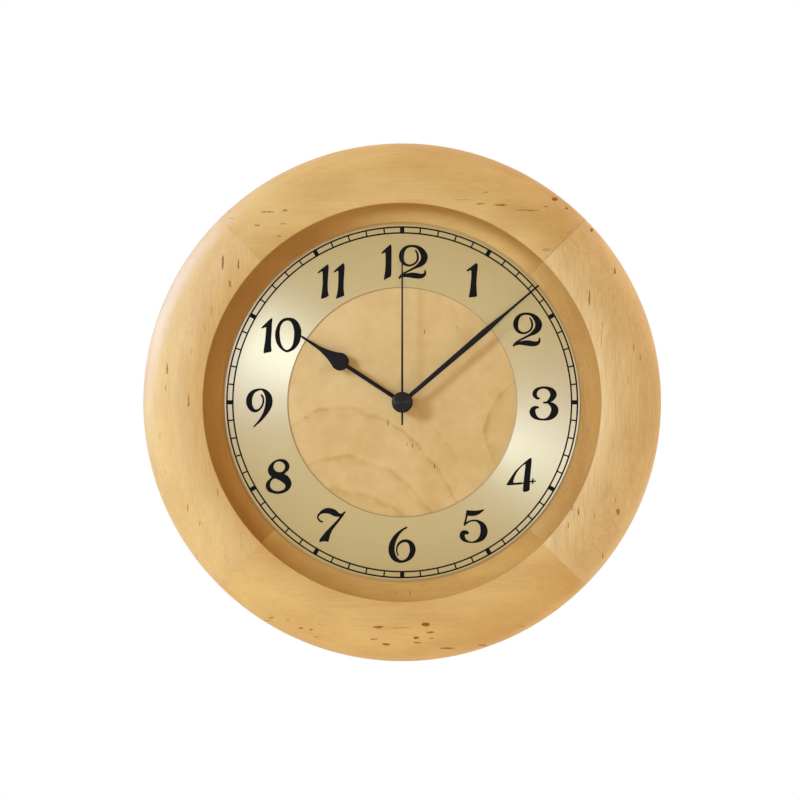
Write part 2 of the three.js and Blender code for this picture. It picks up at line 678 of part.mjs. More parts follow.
function fixings() {
  piece('threaded_bush', turned([
    [bushInner, flangeBack], [BUSH_FLANGE_RADIUS, flangeBack], [BUSH_FLANGE_RADIUS, flangeFront],
    [BUSH_RADIUS, flangeFront], [BUSH_RADIUS, nutFront + SEAT_GAP],
    [bushInner, nutFront + SEAT_GAP]]), 'brass');
  piece('rubber_washer', tube(BUSH_RADIUS + RUNNING_GAP, RUBBER_WASHER_RADIUS, caseFront + SEAT_GAP,
    boardBack - SEAT_GAP, WASHER_STEPS), 'rubber');
  piece('fixing_washer', tube(BUSH_RADIUS + RUNNING_GAP, FIXING_WASHER_RADIUS, washerBack,
    washerBack + FIXING_WASHER_THICKNESS), 'brass');
  const corner = NUT_ACROSS_FLATS / 2 / Math.cos(Math.PI / 6);
  piece('fixing_nut', cut(rod(corner, nutBack, nutFront, NUT_SIDES),
    rod(BUSH_RADIUS + SEAT_GAP, nutBack - 1, nutFront + 1)), 'brass');
}

// Battery and its contacts

function battery() {
  const cell = turned([[0, cellMinusEnd], [CELL_RADIUS, cellMinusEnd], [CELL_RADIUS, cellShoulder],
    [CELL_NUB_RADIUS, cellShoulder], [CELL_NUB_RADIUS, cellPlusEnd], [0, cellPlusEnd]], WASHER_STEPS);
  piece('battery_cell', at(alongX(cell), 0, cellY, cellZ), 'cellSleeve');

  const wide = [tailBack, tailBack + CONTACT_WIDTH];
  const slim = [tailBack, tailFront];
  const reach = CELL_RADIUS - 1;
  const tailY = circuitBottom + 2 * CONTACT_THICKNESS;
  const contactOuter = contactInner + CONTACT_THICKNESS;
  const endPlate = (x) => union(
    block(x, [cellY - reach, cellY + reach], wide),
    block(x, [cellY, tailY], slim));
  piece('battery_contact_plus', endPlate([contactInner, contactOuter]), 'steel');

  // A bowed leaf presses on the flat end of the cell, and a rail carries it to the circuit board
  const bow = cellMinusEnd - RUNNING_GAP;
  const foot = -contactInner - CONTACT_THICKNESS / 2;
  const tip = SPRING_TIP / 2;
  const leafFoot = reach - 2 * CONTACT_THICKNESS;
  const leaf = plate([
    [foot, cellY - reach], [bow, cellY - tip], [bow, cellY + tip], [foot, cellY + reach],
    [foot, cellY + leafFoot], [bow - CONTACT_THICKNESS, cellY + tip / 2],
    [bow - CONTACT_THICKNESS, cellY - tip / 2], [foot, cellY - leafFoot]], ...wide);
  const rail = block([-contactOuter, circuitRight - BOARD_WIDTH + CONTACT_TAIL],
    [tailY - CONTACT_THICKNESS, tailY], slim);
  piece('battery_contact_minus', union(endPlate([-contactOuter, -contactInner]), leaf, rail), 'steel');
}

function electronics() {
  piece('circuit_board', block([circuitRight - BOARD_WIDTH, circuitRight],
    [circuitBottom, circuitBottom + BOARD_HEIGHT], [circuitBack, circuitFront]), 'circuit');
  const crystal = alongX(rod(CRYSTAL_RADIUS, -CRYSTAL_LENGTH / 2, CRYSTAL_LENGTH / 2, DETAIL_STEPS));
  piece('quartz_crystal', at(crystal, circuitCentre.x + BOARD_WIDTH / 4, circuitCentre.y + BOARD_HEIGHT / 3,
    circuitFront + SEAT_GAP + CRYSTAL_RADIUS), 'steel');
  piece('driver_chip', at(roundedBox(CHIP_SIZE / 2, CHIP_SIZE / 2, CHIP_SIZE / 4, circuitFront + SEAT_GAP,
    circuitFront + SEAT_GAP + CHIP_THICKNESS), circuitCentre.x, circuitCentre.y), 'rubber');
}

function motor() {
  const armHalf = STATOR_ARM_WIDTH / 2;
  const armX = COIL_SPAN / 2;
  const armTop = COIL_RISE + armHalf;
  const bridge = STATOR_BRIDGE_HEIGHT / 2;
  const inner = armX - armHalf;
  const half = [[bridge, -bridge], [armX + armHalf, bridge * 0.65], [armX + armHalf, armTop],
    [inner, armTop], [inner, bridge + STATOR_WAIST], [inner - STATOR_ARM_WIDTH, bridge]];
  const mirrored = half.map(([x, y]) => [-x, y]).reverse();
  const blade = at(plate([...half, ...mirrored], statorBack, statorFront), rotorAxis.x, rotorAxis.y);
  const magnetHole = rod(MAGNET_RADIUS + RUNNING_GAP, statorBack - 1, statorFront + 1);
  piece('stator', cut(blade, at(magnetHole, rotorAxis.x, rotorAxis.y)), 'steel');

  const coilX = rotorAxis.x;
  const coreHalf = armX + armHalf;
  const core = block([-coreHalf, coreHalf], [-CORE_WIDTH / 2, CORE_WIDTH / 2],
    [coreBack, coreBack + CORE_THICKNESS]);
  piece('coil_core', at(core, coilX, coilY), 'steel');
  const along = (shape) => at(alongX(shape), coilX, coilY, coreMiddle);
  const bobbinHalf = inner - RUNNING_GAP;
  const spool = Math.hypot(CORE_WIDTH, CORE_THICKNESS) / 2 + BOBBIN_WALL + SEAT_GAP;
  const flange = WINDING_RADIUS + BOBBIN_WALL;
  const bobbin = turned([[0, -bobbinHalf], [flange, -bobbinHalf], [flange, BOBBIN_WALL - bobbinHalf],
    [spool, BOBBIN_WALL - bobbinHalf], [spool, bobbinHalf - BOBBIN_WALL], [flange, bobbinHalf - BOBBIN_WALL],
    [flange, bobbinHalf], [0, bobbinHalf]]);
  const coreHole = block([-CORE_THICKNESS / 2 - SEAT_GAP, CORE_THICKNESS / 2 + SEAT_GAP],
    [-CORE_WIDTH / 2 - SEAT_GAP, CORE_WIDTH / 2 + SEAT_GAP], [-bobbinHalf - 1, bobbinHalf + 1]);
  piece('coil_bobbin', along(cut(bobbin, coreHole)), 'wheelPlastic');
  const windingHalf = bobbinHalf - BOBBIN_WALL - SEAT_GAP;
  piece('coil_winding', along(tube(spool + SEAT_GAP, WINDING_RADIUS, -windingHalf, windingHalf)), 'copper');
}

// Going train: rotor, intermediate wheel, seconds wheel, third wheel and centre wheel
const minuteTubeBack = layerBack(3) - SEAT_GAP / 2;
const hourHandBack = dialFront + HOUR_HAND_HEIGHT;
const minuteHandBack = hourHandBack + HAND_SPACING;
const secondHandBack = minuteHandBack + HAND_SPACING;

const wheelSpan = (layer) => [layerBack(layer), layerBack(layer) + WHEEL_THICKNESS];
const pinionSpan = (layer) => [layerBack(layer) - SEAT_GAP, layerBack(layer) + WHEEL_THICKNESS + SEAT_GAP];
const motionSpan = (layer) => [motionBack(layer), motionBack(layer) + MOTION_WHEEL_THICKNESS];

function goingTrain() {
  const toIntermediate = degrees(INTERMEDIATE_DIRECTION);
  const toRotor = degrees(ROTOR_DIRECTION);
  const toThird = degrees(THIRD_DIRECTION);
  const intermediatePinionPhase = meshPhase(toIntermediate, SECONDS_TEETH, 0, INTERMEDIATE_PINION_TEETH);
  const rotorPhase = meshPhase(toRotor, INTERMEDIATE_TEETH, 0, ROTOR_TEETH);
  const thirdPhase = meshPhase(toThird, SECONDS_PINION_TEETH, toThird, THIRD_TEETH);
  const thirdPinionPhase = meshPhase(toThird, CENTRE_TEETH, toThird, THIRD_PINION_TEETH);

  const arborBack = coverPivot + SEAT_GAP;
  const magnetBack = statorBack + (STATOR_THICKNESS - MAGNET_HEIGHT) / 2;
  const magnet = tube(ARBOR_RADIUS + PRESS_GAP, MAGNET_RADIUS, magnetBack, magnetBack + MAGNET_HEIGHT,
    DETAIL_STEPS);
  piece('rotor_magnet', at(magnet, rotorAxis.x, rotorAxis.y), 'magnet');
  piece('rotor_pinion', arborWith(rotorAxis, arborBack, platePivot,
    pinion(ROTOR_TEETH, MOTOR_MODULE, rotorPhase, ...pinionSpan(0))), 'wheelPlastic');

  piece('intermediate_wheel', arborWith(intermediateAxis, arborBack, platePivot,
    wheel(INTERMEDIATE_TEETH, MOTOR_MODULE, 0, ...wheelSpan(0)),
    pinion(INTERMEDIATE_PINION_TEETH, MOTOR_MODULE, intermediatePinionPhase, layerBack(0),
      pinionSpan(1)[1])), 'wheelPlastic');

  const shaftHole = rod(SECONDS_SHAFT_RADIUS + PRESS_GAP, layerBack(0), layerBack(4), DETAIL_STEPS);
  piece('seconds_wheel', cut(union(
    wheel(SECONDS_TEETH, MOTOR_MODULE, 0, ...wheelSpan(1)),
    rod(HUB_RADIUS, layerBack(1) - LAYER_GAP, layerBack(2) - SEAT_GAP, DETAIL_STEPS),
    pinion(SECONDS_PINION_TEETH, THIRD_MODULE, toThird, layerBack(1), pinionSpan(2)[1])),
  shaftHole), 'wheelPlastic');
  const shaftTop = secondHandBack + SECOND_HAND_THICKNESS + SHAFT_PROUD;
  piece('seconds_shaft', union(
    rod(PIVOT_RADIUS, arborBack, layerBack(0), DETAIL_STEPS),
    rod(SECONDS_SHAFT_RADIUS, layerBack(0) - SEAT_GAP, shaftTop, DETAIL_STEPS)), 'steel');

  piece('third_wheel', arborWith(thirdAxis, arborBack, platePivot,
    wheel(THIRD_TEETH, THIRD_MODULE, thirdPhase, ...wheelSpan(2)),
    pinion(THIRD_PINION_TEETH, centreModule, thirdPinionPhase, layerBack(2), pinionSpan(3)[1])),
  'wheelPlastic');

  piece('centre_wheel', cut(
    wheel(CENTRE_TEETH, centreModule, toThird, ...wheelSpan(3)),
    rod(clutchRadius + SEAT_GAP, layerBack(2), layerBack(4))), 'wheelPlastic');
}

// Motion work: minute arbor with its cannon pinion, minute wheel, hour wheel and setting knob

function motionWork() {
  const toMinute = degrees(MINUTE_DIRECTION);
  const minutePhase = meshPhase(toMinute, CANNON_TEETH, toMinute, MINUTE_TEETH);
  const settingPhase = meshPhase(degrees(SETTING_DIRECTION), MINUTE_TEETH, minutePhase, SETTING_TEETH);
  const minutePinionPhase = meshPhase(toMinute, HOUR_TEETH, toMinute, MINUTE_PINION_TEETH);
  const minuteTop = minuteHandBack + HAND_THICKNESS + SHAFT_PROUD;
  const hourTop = hourHandBack + HAND_THICKNESS + SHAFT_PROUD;

  piece('minute_arbor', cut(union(
    rod(clutchRadius, minuteTubeBack, motionBack(0)),
    pinion(CANNON_TEETH, MOTION_MODULE, toMinute, ...motionSpan(0)),
    rod(minuteTubeOuter, motionBack(0), minuteTop)),
  rod(minuteTubeInner, minuteTubeBack - 1, minuteTop + 1)), 'brass');

  const bossPivot = bossBack + (chamberFront - bossBack) / 2;
  piece('minute_wheel', at(union(
    wheel(MINUTE_TEETH, MOTION_MODULE, minutePhase, ...motionSpan(0)),
    pinion(MINUTE_PINION_TEETH, hourModule, minutePinionPhase, motionBack(0), motionSpan(1)[1] + SEAT_GAP),
    rod(PIVOT_RADIUS, trainPlateBack, bossPivot, DETAIL_STEPS)),
  minuteAxis.x, minuteAxis.y), 'wheelPlastic');

  piece('hour_wheel', cut(union(
    wheel(HOUR_TEETH, hourModule, toMinute, ...motionSpan(1)),
    rod(hourTubeOuter + HUB_RADIUS, motionBack(1), flangeBack - RUNNING_GAP),
    rod(hourTubeOuter, motionBack(1), hourTop)),
  rod(hourTubeInner, motionBack(0), hourTop + 1)), 'wheelPlastic');

  const knobTop = caseBack - RUNNING_GAP;
  const knobModule = 2 * KNOB_RADIUS / KNOB_RIBS;
  piece('setting_knob', at(union(
    toothed(KNOB_RIBS, knobModule, 0, KNOB_RIB, knobTop - KNOB_HEIGHT, knobTop),
    rod(KNOB_STEM_RADIUS, knobTop - 1, motionBack(0), DETAIL_STEPS),
    pinion(SETTING_TEETH, MOTION_MODULE, settingPhase, ...motionSpan(0)),
    rod(PIVOT_RADIUS, motionBack(0), bossPivot, DETAIL_STEPS)),
  settingAxis.x, settingAxis.y), 'casePlastic');
}

// Hands, drawn pointing to twelve

// Outline from half-widths along the hand, mirrored about its middle
function bladeOutline(stations) {
  const right = stations.map(([along, half]) => [half, along]);
  const left = stations.map(([along, half]) => [-half, along]).reverse();
  return [...right, ...left];
}

function hand(name, stations, bore, back, angle) {
  const front = back + HAND_THICKNESS;
  const blade = union(plate(bladeOutline(stations), back, front), rod(bore + HAND_BOSS_RIM, back, front));
  piece(name, clockwise(cut(blade, rod(bore, back - 1, front + 1)), angle), 'black');
}

function collet(name, tubeOuter, back) {
  const inner = tubeOuter + PRESS_GAP;
  const outer = inner + COLLET_WALL;
  const flangeFrontZ = back - COLLET_SHOULDER;
  const flangeBackZ = flangeFrontZ - COLLET_FLANGE_THICKNESS;
  const front = back + HAND_THICKNESS + COLLET_PROUD;
  piece(name, turned([
    [inner, flangeBackZ], [outer + COLLET_FLANGE, flangeBackZ], [outer + COLLET_FLANGE, flangeFrontZ],
    [outer, flangeFrontZ], [outer, front], [inner, front]]), 'black');
  return outer + PRESS_GAP;
}

// The hour hand swells into a drop with a round heel and a long hollow taper
function hourStations() {
  const heelAngle = Math.asin(ROD_HALF_WIDTH / DROP_RADIUS);
  const shoulderAngle = degrees(90 + DROP_SHOULDER_ANGLE);
  const stations = [[0, ROD_HALF_WIDTH]];
  const heelSteps = 8;
  for (let i = 0; i <= heelSteps; i += 1) {
    const angle = heelAngle + (shoulderAngle - heelAngle) * i / heelSteps;
    stations.push([DROP_CENTRE - DROP_RADIUS * Math.cos(angle), DROP_RADIUS * Math.sin(angle)]);
  }
  const [from, fromHalf] = stations[stations.length - 1];
  const taperSteps = 5;
  for (let i = 1; i <= taperSteps; i += 1) {
    const share = i / taperSteps;
    const half = NEEDLE_HALF_WIDTH + (fromHalf - NEEDLE_HALF_WIDTH) * (1 - share) ** 2;
    stations.push([from + (NEEDLE_START - from) * share, half]);
  }
  stations.push([HOUR_HAND_LENGTH, HOUR_TIP_HALF_WIDTH]);
  return stations;
}

function hourAndMinuteHands() {
  const hourBore = collet('hour_hand_collet', hourTubeOuter, hourHandBack);
  hand('hour_hand', hourStations(), hourBore, hourHandBack, HOUR_HAND_ANGLE);

  const minuteTip = [DIAL_OPENING_RADIUS - MINUTE_TIP_MARGIN, MINUTE_TIP_HALF_WIDTH];
  const minuteBore = collet('minute_hand_collet', minuteTubeOuter, minuteHandBack);
  hand('minute_hand', [...MINUTE_HAND_SHAPE, minuteTip], minuteBore, minuteHandBack, MINUTE_HAND_ANGLE);
}

function secondHand() {
  const stations = [[-SECOND_TAIL_LENGTH, SECOND_TAIL_HALF_WIDTH], [0, SECOND_HALF_WIDTH],
    [SECOND_HAND_LENGTH, SECOND_TIP_HALF_WIDTH]];
  const bossRadius = SECONDS_SHAFT_RADIUS + COLLET_WALL;
  const front = secondHandBack + SECOND_HAND_THICKNESS;
  const blade = union(
    plate(bladeOutline(stations), secondHandBack, front),
    rod(bossRadius, secondHandBack - HAND_THICKNESS, front + SEAT_GAP));
  const bore = rod(SECONDS_SHAFT_RADIUS + PRESS_GAP, secondHandBack - 1, front + 1);
  piece('second_hand', clockwise(cut(blade, bore), SECOND_HAND_ANGLE), 'black');

  // The cap hides the shaft's end and the boss in a hollow in its back
  const capBack = front + SEAT_GAP;
  const capFront = capBack + CAP_HEIGHT;
  const hollow = bossRadius + SEAT_GAP;
  const hollowFront = capBack + SHAFT_PROUD + SEAT_GAP;
  piece('second_hand_cap', turned([
    [0, hollowFront], [hollow, hollowFront], [hollow, capBack], [CAP_RADIUS, capBack],
    [CAP_RADIUS, capFront - CAP_EDGE], [CAP_RADIUS - CAP_EDGE / 3, capFront - CAP_EDGE / 2],
    [CAP_RADIUS - CAP_EDGE, capFront - CAP_EDGE / 8], [0, capFront]], WASHER_STEPS), 'black');
}

frameSegments();
hanger();
dial();
movementCase();
movementCover();
trainPlate();
fixings();
battery();
electronics();
motor();
goingTrain();
motionWork();
hourAndMinuteHands();
secondHand();

// Stand the clock up and move the nail seat to the origin
clock.rotation.x = Math.PI / 2;
clock.position.z = -nailSeatY;
clock.name = 'wooden_wall_clock';

export default clock;
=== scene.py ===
# Round wooden wall clock, dressed in the order in which it is put together. Pieces are drawn as
# seen from the front, in millimetres: x to the right, y up, z from the wall towards the viewer.

import math

import bmesh
import bpy
from mathutils import Matrix, Vector
from mathutils.geometry import tessellate_polygon


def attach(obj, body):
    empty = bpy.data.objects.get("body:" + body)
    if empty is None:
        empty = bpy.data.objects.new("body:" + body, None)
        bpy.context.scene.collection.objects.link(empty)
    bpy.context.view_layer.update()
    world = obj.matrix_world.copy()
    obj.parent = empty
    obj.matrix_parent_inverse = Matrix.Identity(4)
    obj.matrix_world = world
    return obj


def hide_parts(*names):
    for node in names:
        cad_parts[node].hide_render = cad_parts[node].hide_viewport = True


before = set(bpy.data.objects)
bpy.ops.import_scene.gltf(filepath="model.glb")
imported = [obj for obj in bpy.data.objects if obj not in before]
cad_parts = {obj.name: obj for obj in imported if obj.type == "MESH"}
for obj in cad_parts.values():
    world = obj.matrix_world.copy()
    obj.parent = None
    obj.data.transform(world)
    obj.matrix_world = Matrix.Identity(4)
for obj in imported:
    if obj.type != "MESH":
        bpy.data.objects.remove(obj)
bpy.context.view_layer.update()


# Frame: four mitred beech segments, glued up and turned as one ring with a round back, a broad
# shoulder, a soft roll and a cove down to the dial. Clear satin lacquer over straight grain.

AXIS_HEIGHT = -0.135
UPRIGHT = Matrix.Translation((0, 0, AXIS_HEIGHT)) @ Matrix.Rotation(math.pi / 2, 4, "X")
UPRIGHT_FROM_MM = UPRIGHT @ Matrix.Scale(0.001, 4)

OPENING_RADIUS = 104.2
LIP_FRONT = 25.6
LIP_BACK = 24.1
ARRIS_RADIUS = 115.0
ARRIS_FRONT = 41.1
CREST_RADIUS = 122.0
CREST_FRONT = 42.0
FRAME_RADIUS = 150.0
SHOULDER_HEIGHT = 27.0
BACK_ROUND = 9.0
LEDGE_RADIUS = 124.0
REBATE_RADIUS = 112.0
LEDGE_FRONT = 20.0
GLUE_GAP = 0.004
# The cove's curve is pulled by two points, at these shares of its width and of its depth.
COVE_PULLS = ((0.16, 0.38), (0.56, 0.74))


def arc(centre_r, centre_z, radius_r, radius_z, start, end, steps):
    """Points along a part of an ellipse, from one angle in degrees to another."""
    angles = [math.radians(start + (end - start) * i / steps) for i in range(steps + 1)]
    return [(centre_r + radius_r * math.cos(a), centre_z + radius_z * math.sin(a)) for a in angles]


def bezier(a, b, c, d, steps):
    """Points along a cubic curve from a to d, without a itself."""
    points = []
    for i in range(1, steps + 1):
        t = i / steps
        u = 1 - t
        weights = (u ** 3, 3 * u * u * t, 3 * u * t * t, t ** 3)
        points.append(tuple(sum(w * p[k] for w, p in zip(weights, (a, b, c, d))) for k in (0, 1)))
    return points


def frame_profile():
    """The section of the turned ring, as pairs of radius and distance from the wall."""
    roll_turn = 2 * math.atan((CREST_FRONT - ARRIS_FRONT) / (CREST_RADIUS - ARRIS_RADIUS))
    roll = (CREST_RADIUS - ARRIS_RADIUS) / math.sin(roll_turn)
    width = ARRIS_RADIUS - OPENING_RADIUS
    depth = ARRIS_FRONT - LIP_FRONT
    pulls = [(ARRIS_RADIUS - inwards * width, ARRIS_FRONT - down * depth)
             for inwards, down in COVE_PULLS]
    cove = bezier((ARRIS_RADIUS, ARRIS_FRONT), *pulls, (OPENING_RADIUS, LIP_FRONT), 18)
    return (
        [(LEDGE_RADIUS, 0.0)]
        + arc(FRAME_RADIUS - BACK_ROUND, BACK_ROUND, BACK_ROUND, BACK_ROUND, -90, 0, 10)
        + arc(CREST_RADIUS, CREST_FRONT - SHOULDER_HEIGHT, FRAME_RADIUS - CREST_RADIUS,
              SHOULDER_HEIGHT, 0, 90, 28)
        + arc(CREST_RADIUS, CREST_FRONT - roll, roll, roll, 90, 90 + math.degrees(roll_turn), 8)[1:]
        + cove
        + [(OPENING_RADIUS, LIP_BACK), (REBATE_RADIUS, LIP_BACK),
           (REBATE_RADIUS, LEDGE_FRONT), (LEDGE_RADIUS, LEDGE_FRONT)])


def turned(profile, steps, quarter=None):
    """A ring turned from its profile, or one mitred quarter of it, clockwise from the top."""
    bm = bmesh.new()
    rows = []
    for i in range(steps if quarter is None else steps + 1):
        row = []
        for r, z in profile:
            if quarter is None:
                angle = 2 * math.pi * i / steps
            else:
                half = math.pi / 4 - math.asin(GLUE_GAP / 2 / r)
                angle = math.pi / 2 * quarter - half + 2 * half * i / steps
            row.append(bm.verts.new((r * math.sin(angle), r * math.cos(angle), z)))
        rows.append(row)
    count = len(profile)
    for i in range(steps):
        here, there = rows[i], rows[(i + 1) % len(rows)]
        for k in range(count):
            bm.faces.new((here[k], here[(k + 1) % count], there[(k + 1) % count], there[k]))
    if quarter is not None:
        bm.faces.new(rows[0])
        bm.faces.new(rows[-1][::-1])
    bmesh.ops.recalc_face_normals(bm, faces=bm.faces)
    return bm


def drawn(name, bm, place=UPRIGHT_FROM_MM):
    """A mesh made from a drawing, which it uses up, and moved to its place."""
    bm.transform(place)
    mesh = bpy.data.meshes.new(name)
    bm.to_mesh(mesh)
    bm.free()
    return mesh


def linked(name, data):
    """A new object in the scene."""
    made = bpy.data.objects.new(name, data)
    bpy.context.scene.collection.objects.link(made)
    return made


SMOOTH_BELOW = 35


def stand(name, bm, material, body="clock_body", crease=SMOOTH_BELOW, place=UPRIGHT_FROM_MM):
    """Puts a drawing in its place on the clock, smooth but for its creases."""
    mesh = drawn(name, bm, place)
    mesh.shade_smooth()
    mesh.set_sharp_from_angle(angle=math.radians(crease))
    mesh.materials.append(material)
    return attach(linked(name, mesh), body)


def carve(piece, bm):
    """Cuts a closed drawing out of a piece."""
    cutter = linked("cutter", drawn("cutter", bm))
    modifier = piece.modifiers.new("carve", "BOOLEAN")
    modifier.operation = "DIFFERENCE"
    modifier.solver = "EXACT"
    modifier.object = cutter
    with bpy.context.temp_override(object=piece):
        bpy.ops.object.modifier_apply(modifier="carve")
    bpy.data.objects.remove(cutter)
    piece.data.shade_smooth()
    piece.data.set_sharp_from_angle(angle=math.radians(SMOOTH_BELOW))


def plate(outline, back, thick):
    """A flat plate of any outline, closed all over."""
    bm = bmesh.new()
    base = bm.faces.new([bm.verts.new((x, y, back)) for x, y in outline])
    grown = bmesh.ops.extrude_face_region(bm, geom=[base])
    lifted = [v for v in grown["geom"] if isinstance(v, bmesh.types.BMVert)]
    bmesh.ops.translate(bm, verts=lifted, vec=(0, 0, thick))
    bmesh.ops.recalc_face_normals(bm, faces=bm.faces)
    return bm


def rounded_outline(half_width, half_height, corner, centre_y):
    """A rectangle with round corners, centred left to right."""
    outline = []
    for across, up, start in ((1, 1, 0), (-1, 1, 90), (-1, -1, 180), (1, -1, 270)):
        outline += arc(across * (half_width - corner), centre_y + up * (half_height - corner),
                       corner, corner, start, start + 90, 8)
    return outline


class Wire:
    """A value, colour or vector inside a material. Sums on it add Math nodes."""

    def __init__(self, socket):
        self.socket = socket

    def node(self, kind, settings, inputs, output=0):
        tree = self.socket.id_data
        made = tree.nodes.new(kind)
        for key, value in settings.items():
            setattr(made, key, value)
        for key, value in inputs.items():
            if isinstance(value, Wire):
                tree.links.new(value.socket, made.inputs[key])
            else:
                made.inputs[key].default_value = value
        return Wire(made.outputs[output])

    def math(self, operation, *values):
        return self.node("ShaderNodeMath", {"operation": operation}, dict(enumerate(values)))

    def __add__(self, other):
        return self.math("ADD", self, other)

    def __sub__(self, other):
        return self.math("SUBTRACT", self, other)

    def __rsub__(self, other):
        return self.math("SUBTRACT", other, self)

    def __mul__(self, other):
        return self.math("MULTIPLY", self, other)

    def __truediv__(self, other):
        return self.math("DIVIDE", self, other)

    def __pow__(self, other):
        return self.math("POWER", self, other)

    def __abs__(self):
        return self.math("ABSOLUTE", self)

    def most(self, other):
        return self.math("MAXIMUM", self, other)

    def step(self, low, high):
        """Rises smoothly from 0 at low to 1 at high, or falls where low is the larger."""
        return self.node("ShaderNodeMapRange", {"interpolation_type": "SMOOTHSTEP"},
                         {0: self, 1: low, 2: high})

    def vector(self, operation, other):
        return self.node("ShaderNodeVectorMath", {"operation": operation}, {0: self, 1: other})

    def axes(self):
        split = self.node("ShaderNodeSeparateXYZ", {}, {0: self})
        return [Wire(s) for s in split.socket.node.outputs]

    def noise(self, scale, detail, rough, bend=0.0, output=0):
        return self.node("ShaderNodeTexNoise", {},
                         {"Vector": self, "Scale": scale, "Detail": detail, "Roughness": rough,
                          "Distortion": bend}, output)

    def cells(self, scale, output=0):
        return self.node("ShaderNodeTexVoronoi", {}, {"Vector": self, "Scale": scale}, output)

    def blend(self, first, second, how="MIX"):
        """Goes from the first colour to the second as this value goes from 0 to 1."""
        return self.node("ShaderNodeMix", {"data_type": "RGBA", "blend_type": how},
                         {0: self, 6: first, 7: second}, 2)

    def bump(self, depth_mm, strength):
        return self.node("ShaderNodeBump", {},
                         {"Strength": strength, "Distance": depth_mm / 1000, "Height": self})


def colour(red, green, blue):
    """A colour written as a screen shows it, 0 to 255."""
    screen = (red / 255, green / 255, blue / 255)
    linear = [c / 12.92 if c <= 0.04045 else ((c + 0.055) / 1.055) ** 2.4 for c in screen]
    return (*linear, 1.0)


def finish(name, **fixed):
    """A new material, its shader, and the place on the piece in millimetres."""
    made = bpy.data.materials.new(name)
    made.use_nodes = True
    tree = made.node_tree
    shader = tree.nodes["Principled BSDF"]
    for key, value in fixed.items():
        shader.inputs[key.replace("_", " ")].default_value = value
    start = Wire(tree.nodes.new("ShaderNodeTexCoord").outputs["Object"])
    place = start.node("ShaderNodeVectorMath", {"operation": "SCALE"}, {0: start, "Scale": 1000.0})
    return made, shader, place


def off_axis(x, y):
    """How far a place lies from a line through the middle."""
    return (x * x + y * y) ** 0.5


def feed(shader, **wires):
    """Runs wires into the shader's inputs, named with underscores for spaces."""
    for key, wire in wires.items():
        shader.id_data.links.new(wire.socket, shader.inputs[key.replace("_", " ")])


MM_PER_PIXEL = 0.578
AXIS_PIXEL = (401.7, 401.8)
FLECK_EDGE = (1.15, 0.55)
FLECK_STRENGTH = 1.25


def on_face(px, py):
    """A point of the photograph, in millimetres from the hands' axis."""
    return (px - AXIS_PIXEL[0]) * MM_PER_PIXEL, (AXIS_PIXEL[1] - py) * MM_PER_PIXEL


def flecked(body, across, up, spots, grain_x, tint):
    """Draws short dark marks along the grain: pixel x and y, length, width and darkness of each."""
    marks = None
    for px, py, length, width, darkness in spots:
        at_x, at_y = on_face(px, py)
        half = (length * MM_PER_PIXEL / 2, width * MM_PER_PIXEL / 2)
        reach_x, reach_y = half if grain_x else half[::-1]
        away = ((across - at_x) / reach_x) ** 2 + ((up - at_y) / reach_y) ** 2
        mark = away.step(*FLECK_EDGE) * min(darkness * FLECK_STRENGTH, 1)
        marks = mark if marks is None else marks.most(mark)
    return marks.blend(body, tint)


# In materials the depth runs from the wall at 0 to the crest at -42, in millimetres.
FLECKED_FROM = (-8, -13)
BAND_SHARE = 0.24
FIBRE_SHARES = {"x": 0.28, "z": 0.4}
RAGGED = 1.6
DIAGONAL = 0.7071
# Painted shade laid further into the cove on its right and on its upper left.
COVE_SHADE_RIGHT = (0.69, 0.53, 0.34, 1)
COVE_SHADE_UPPER_LEFT = (0.66, 0.52, 0.36, 1)
GLUE_LINE = (0.35, 0.1)


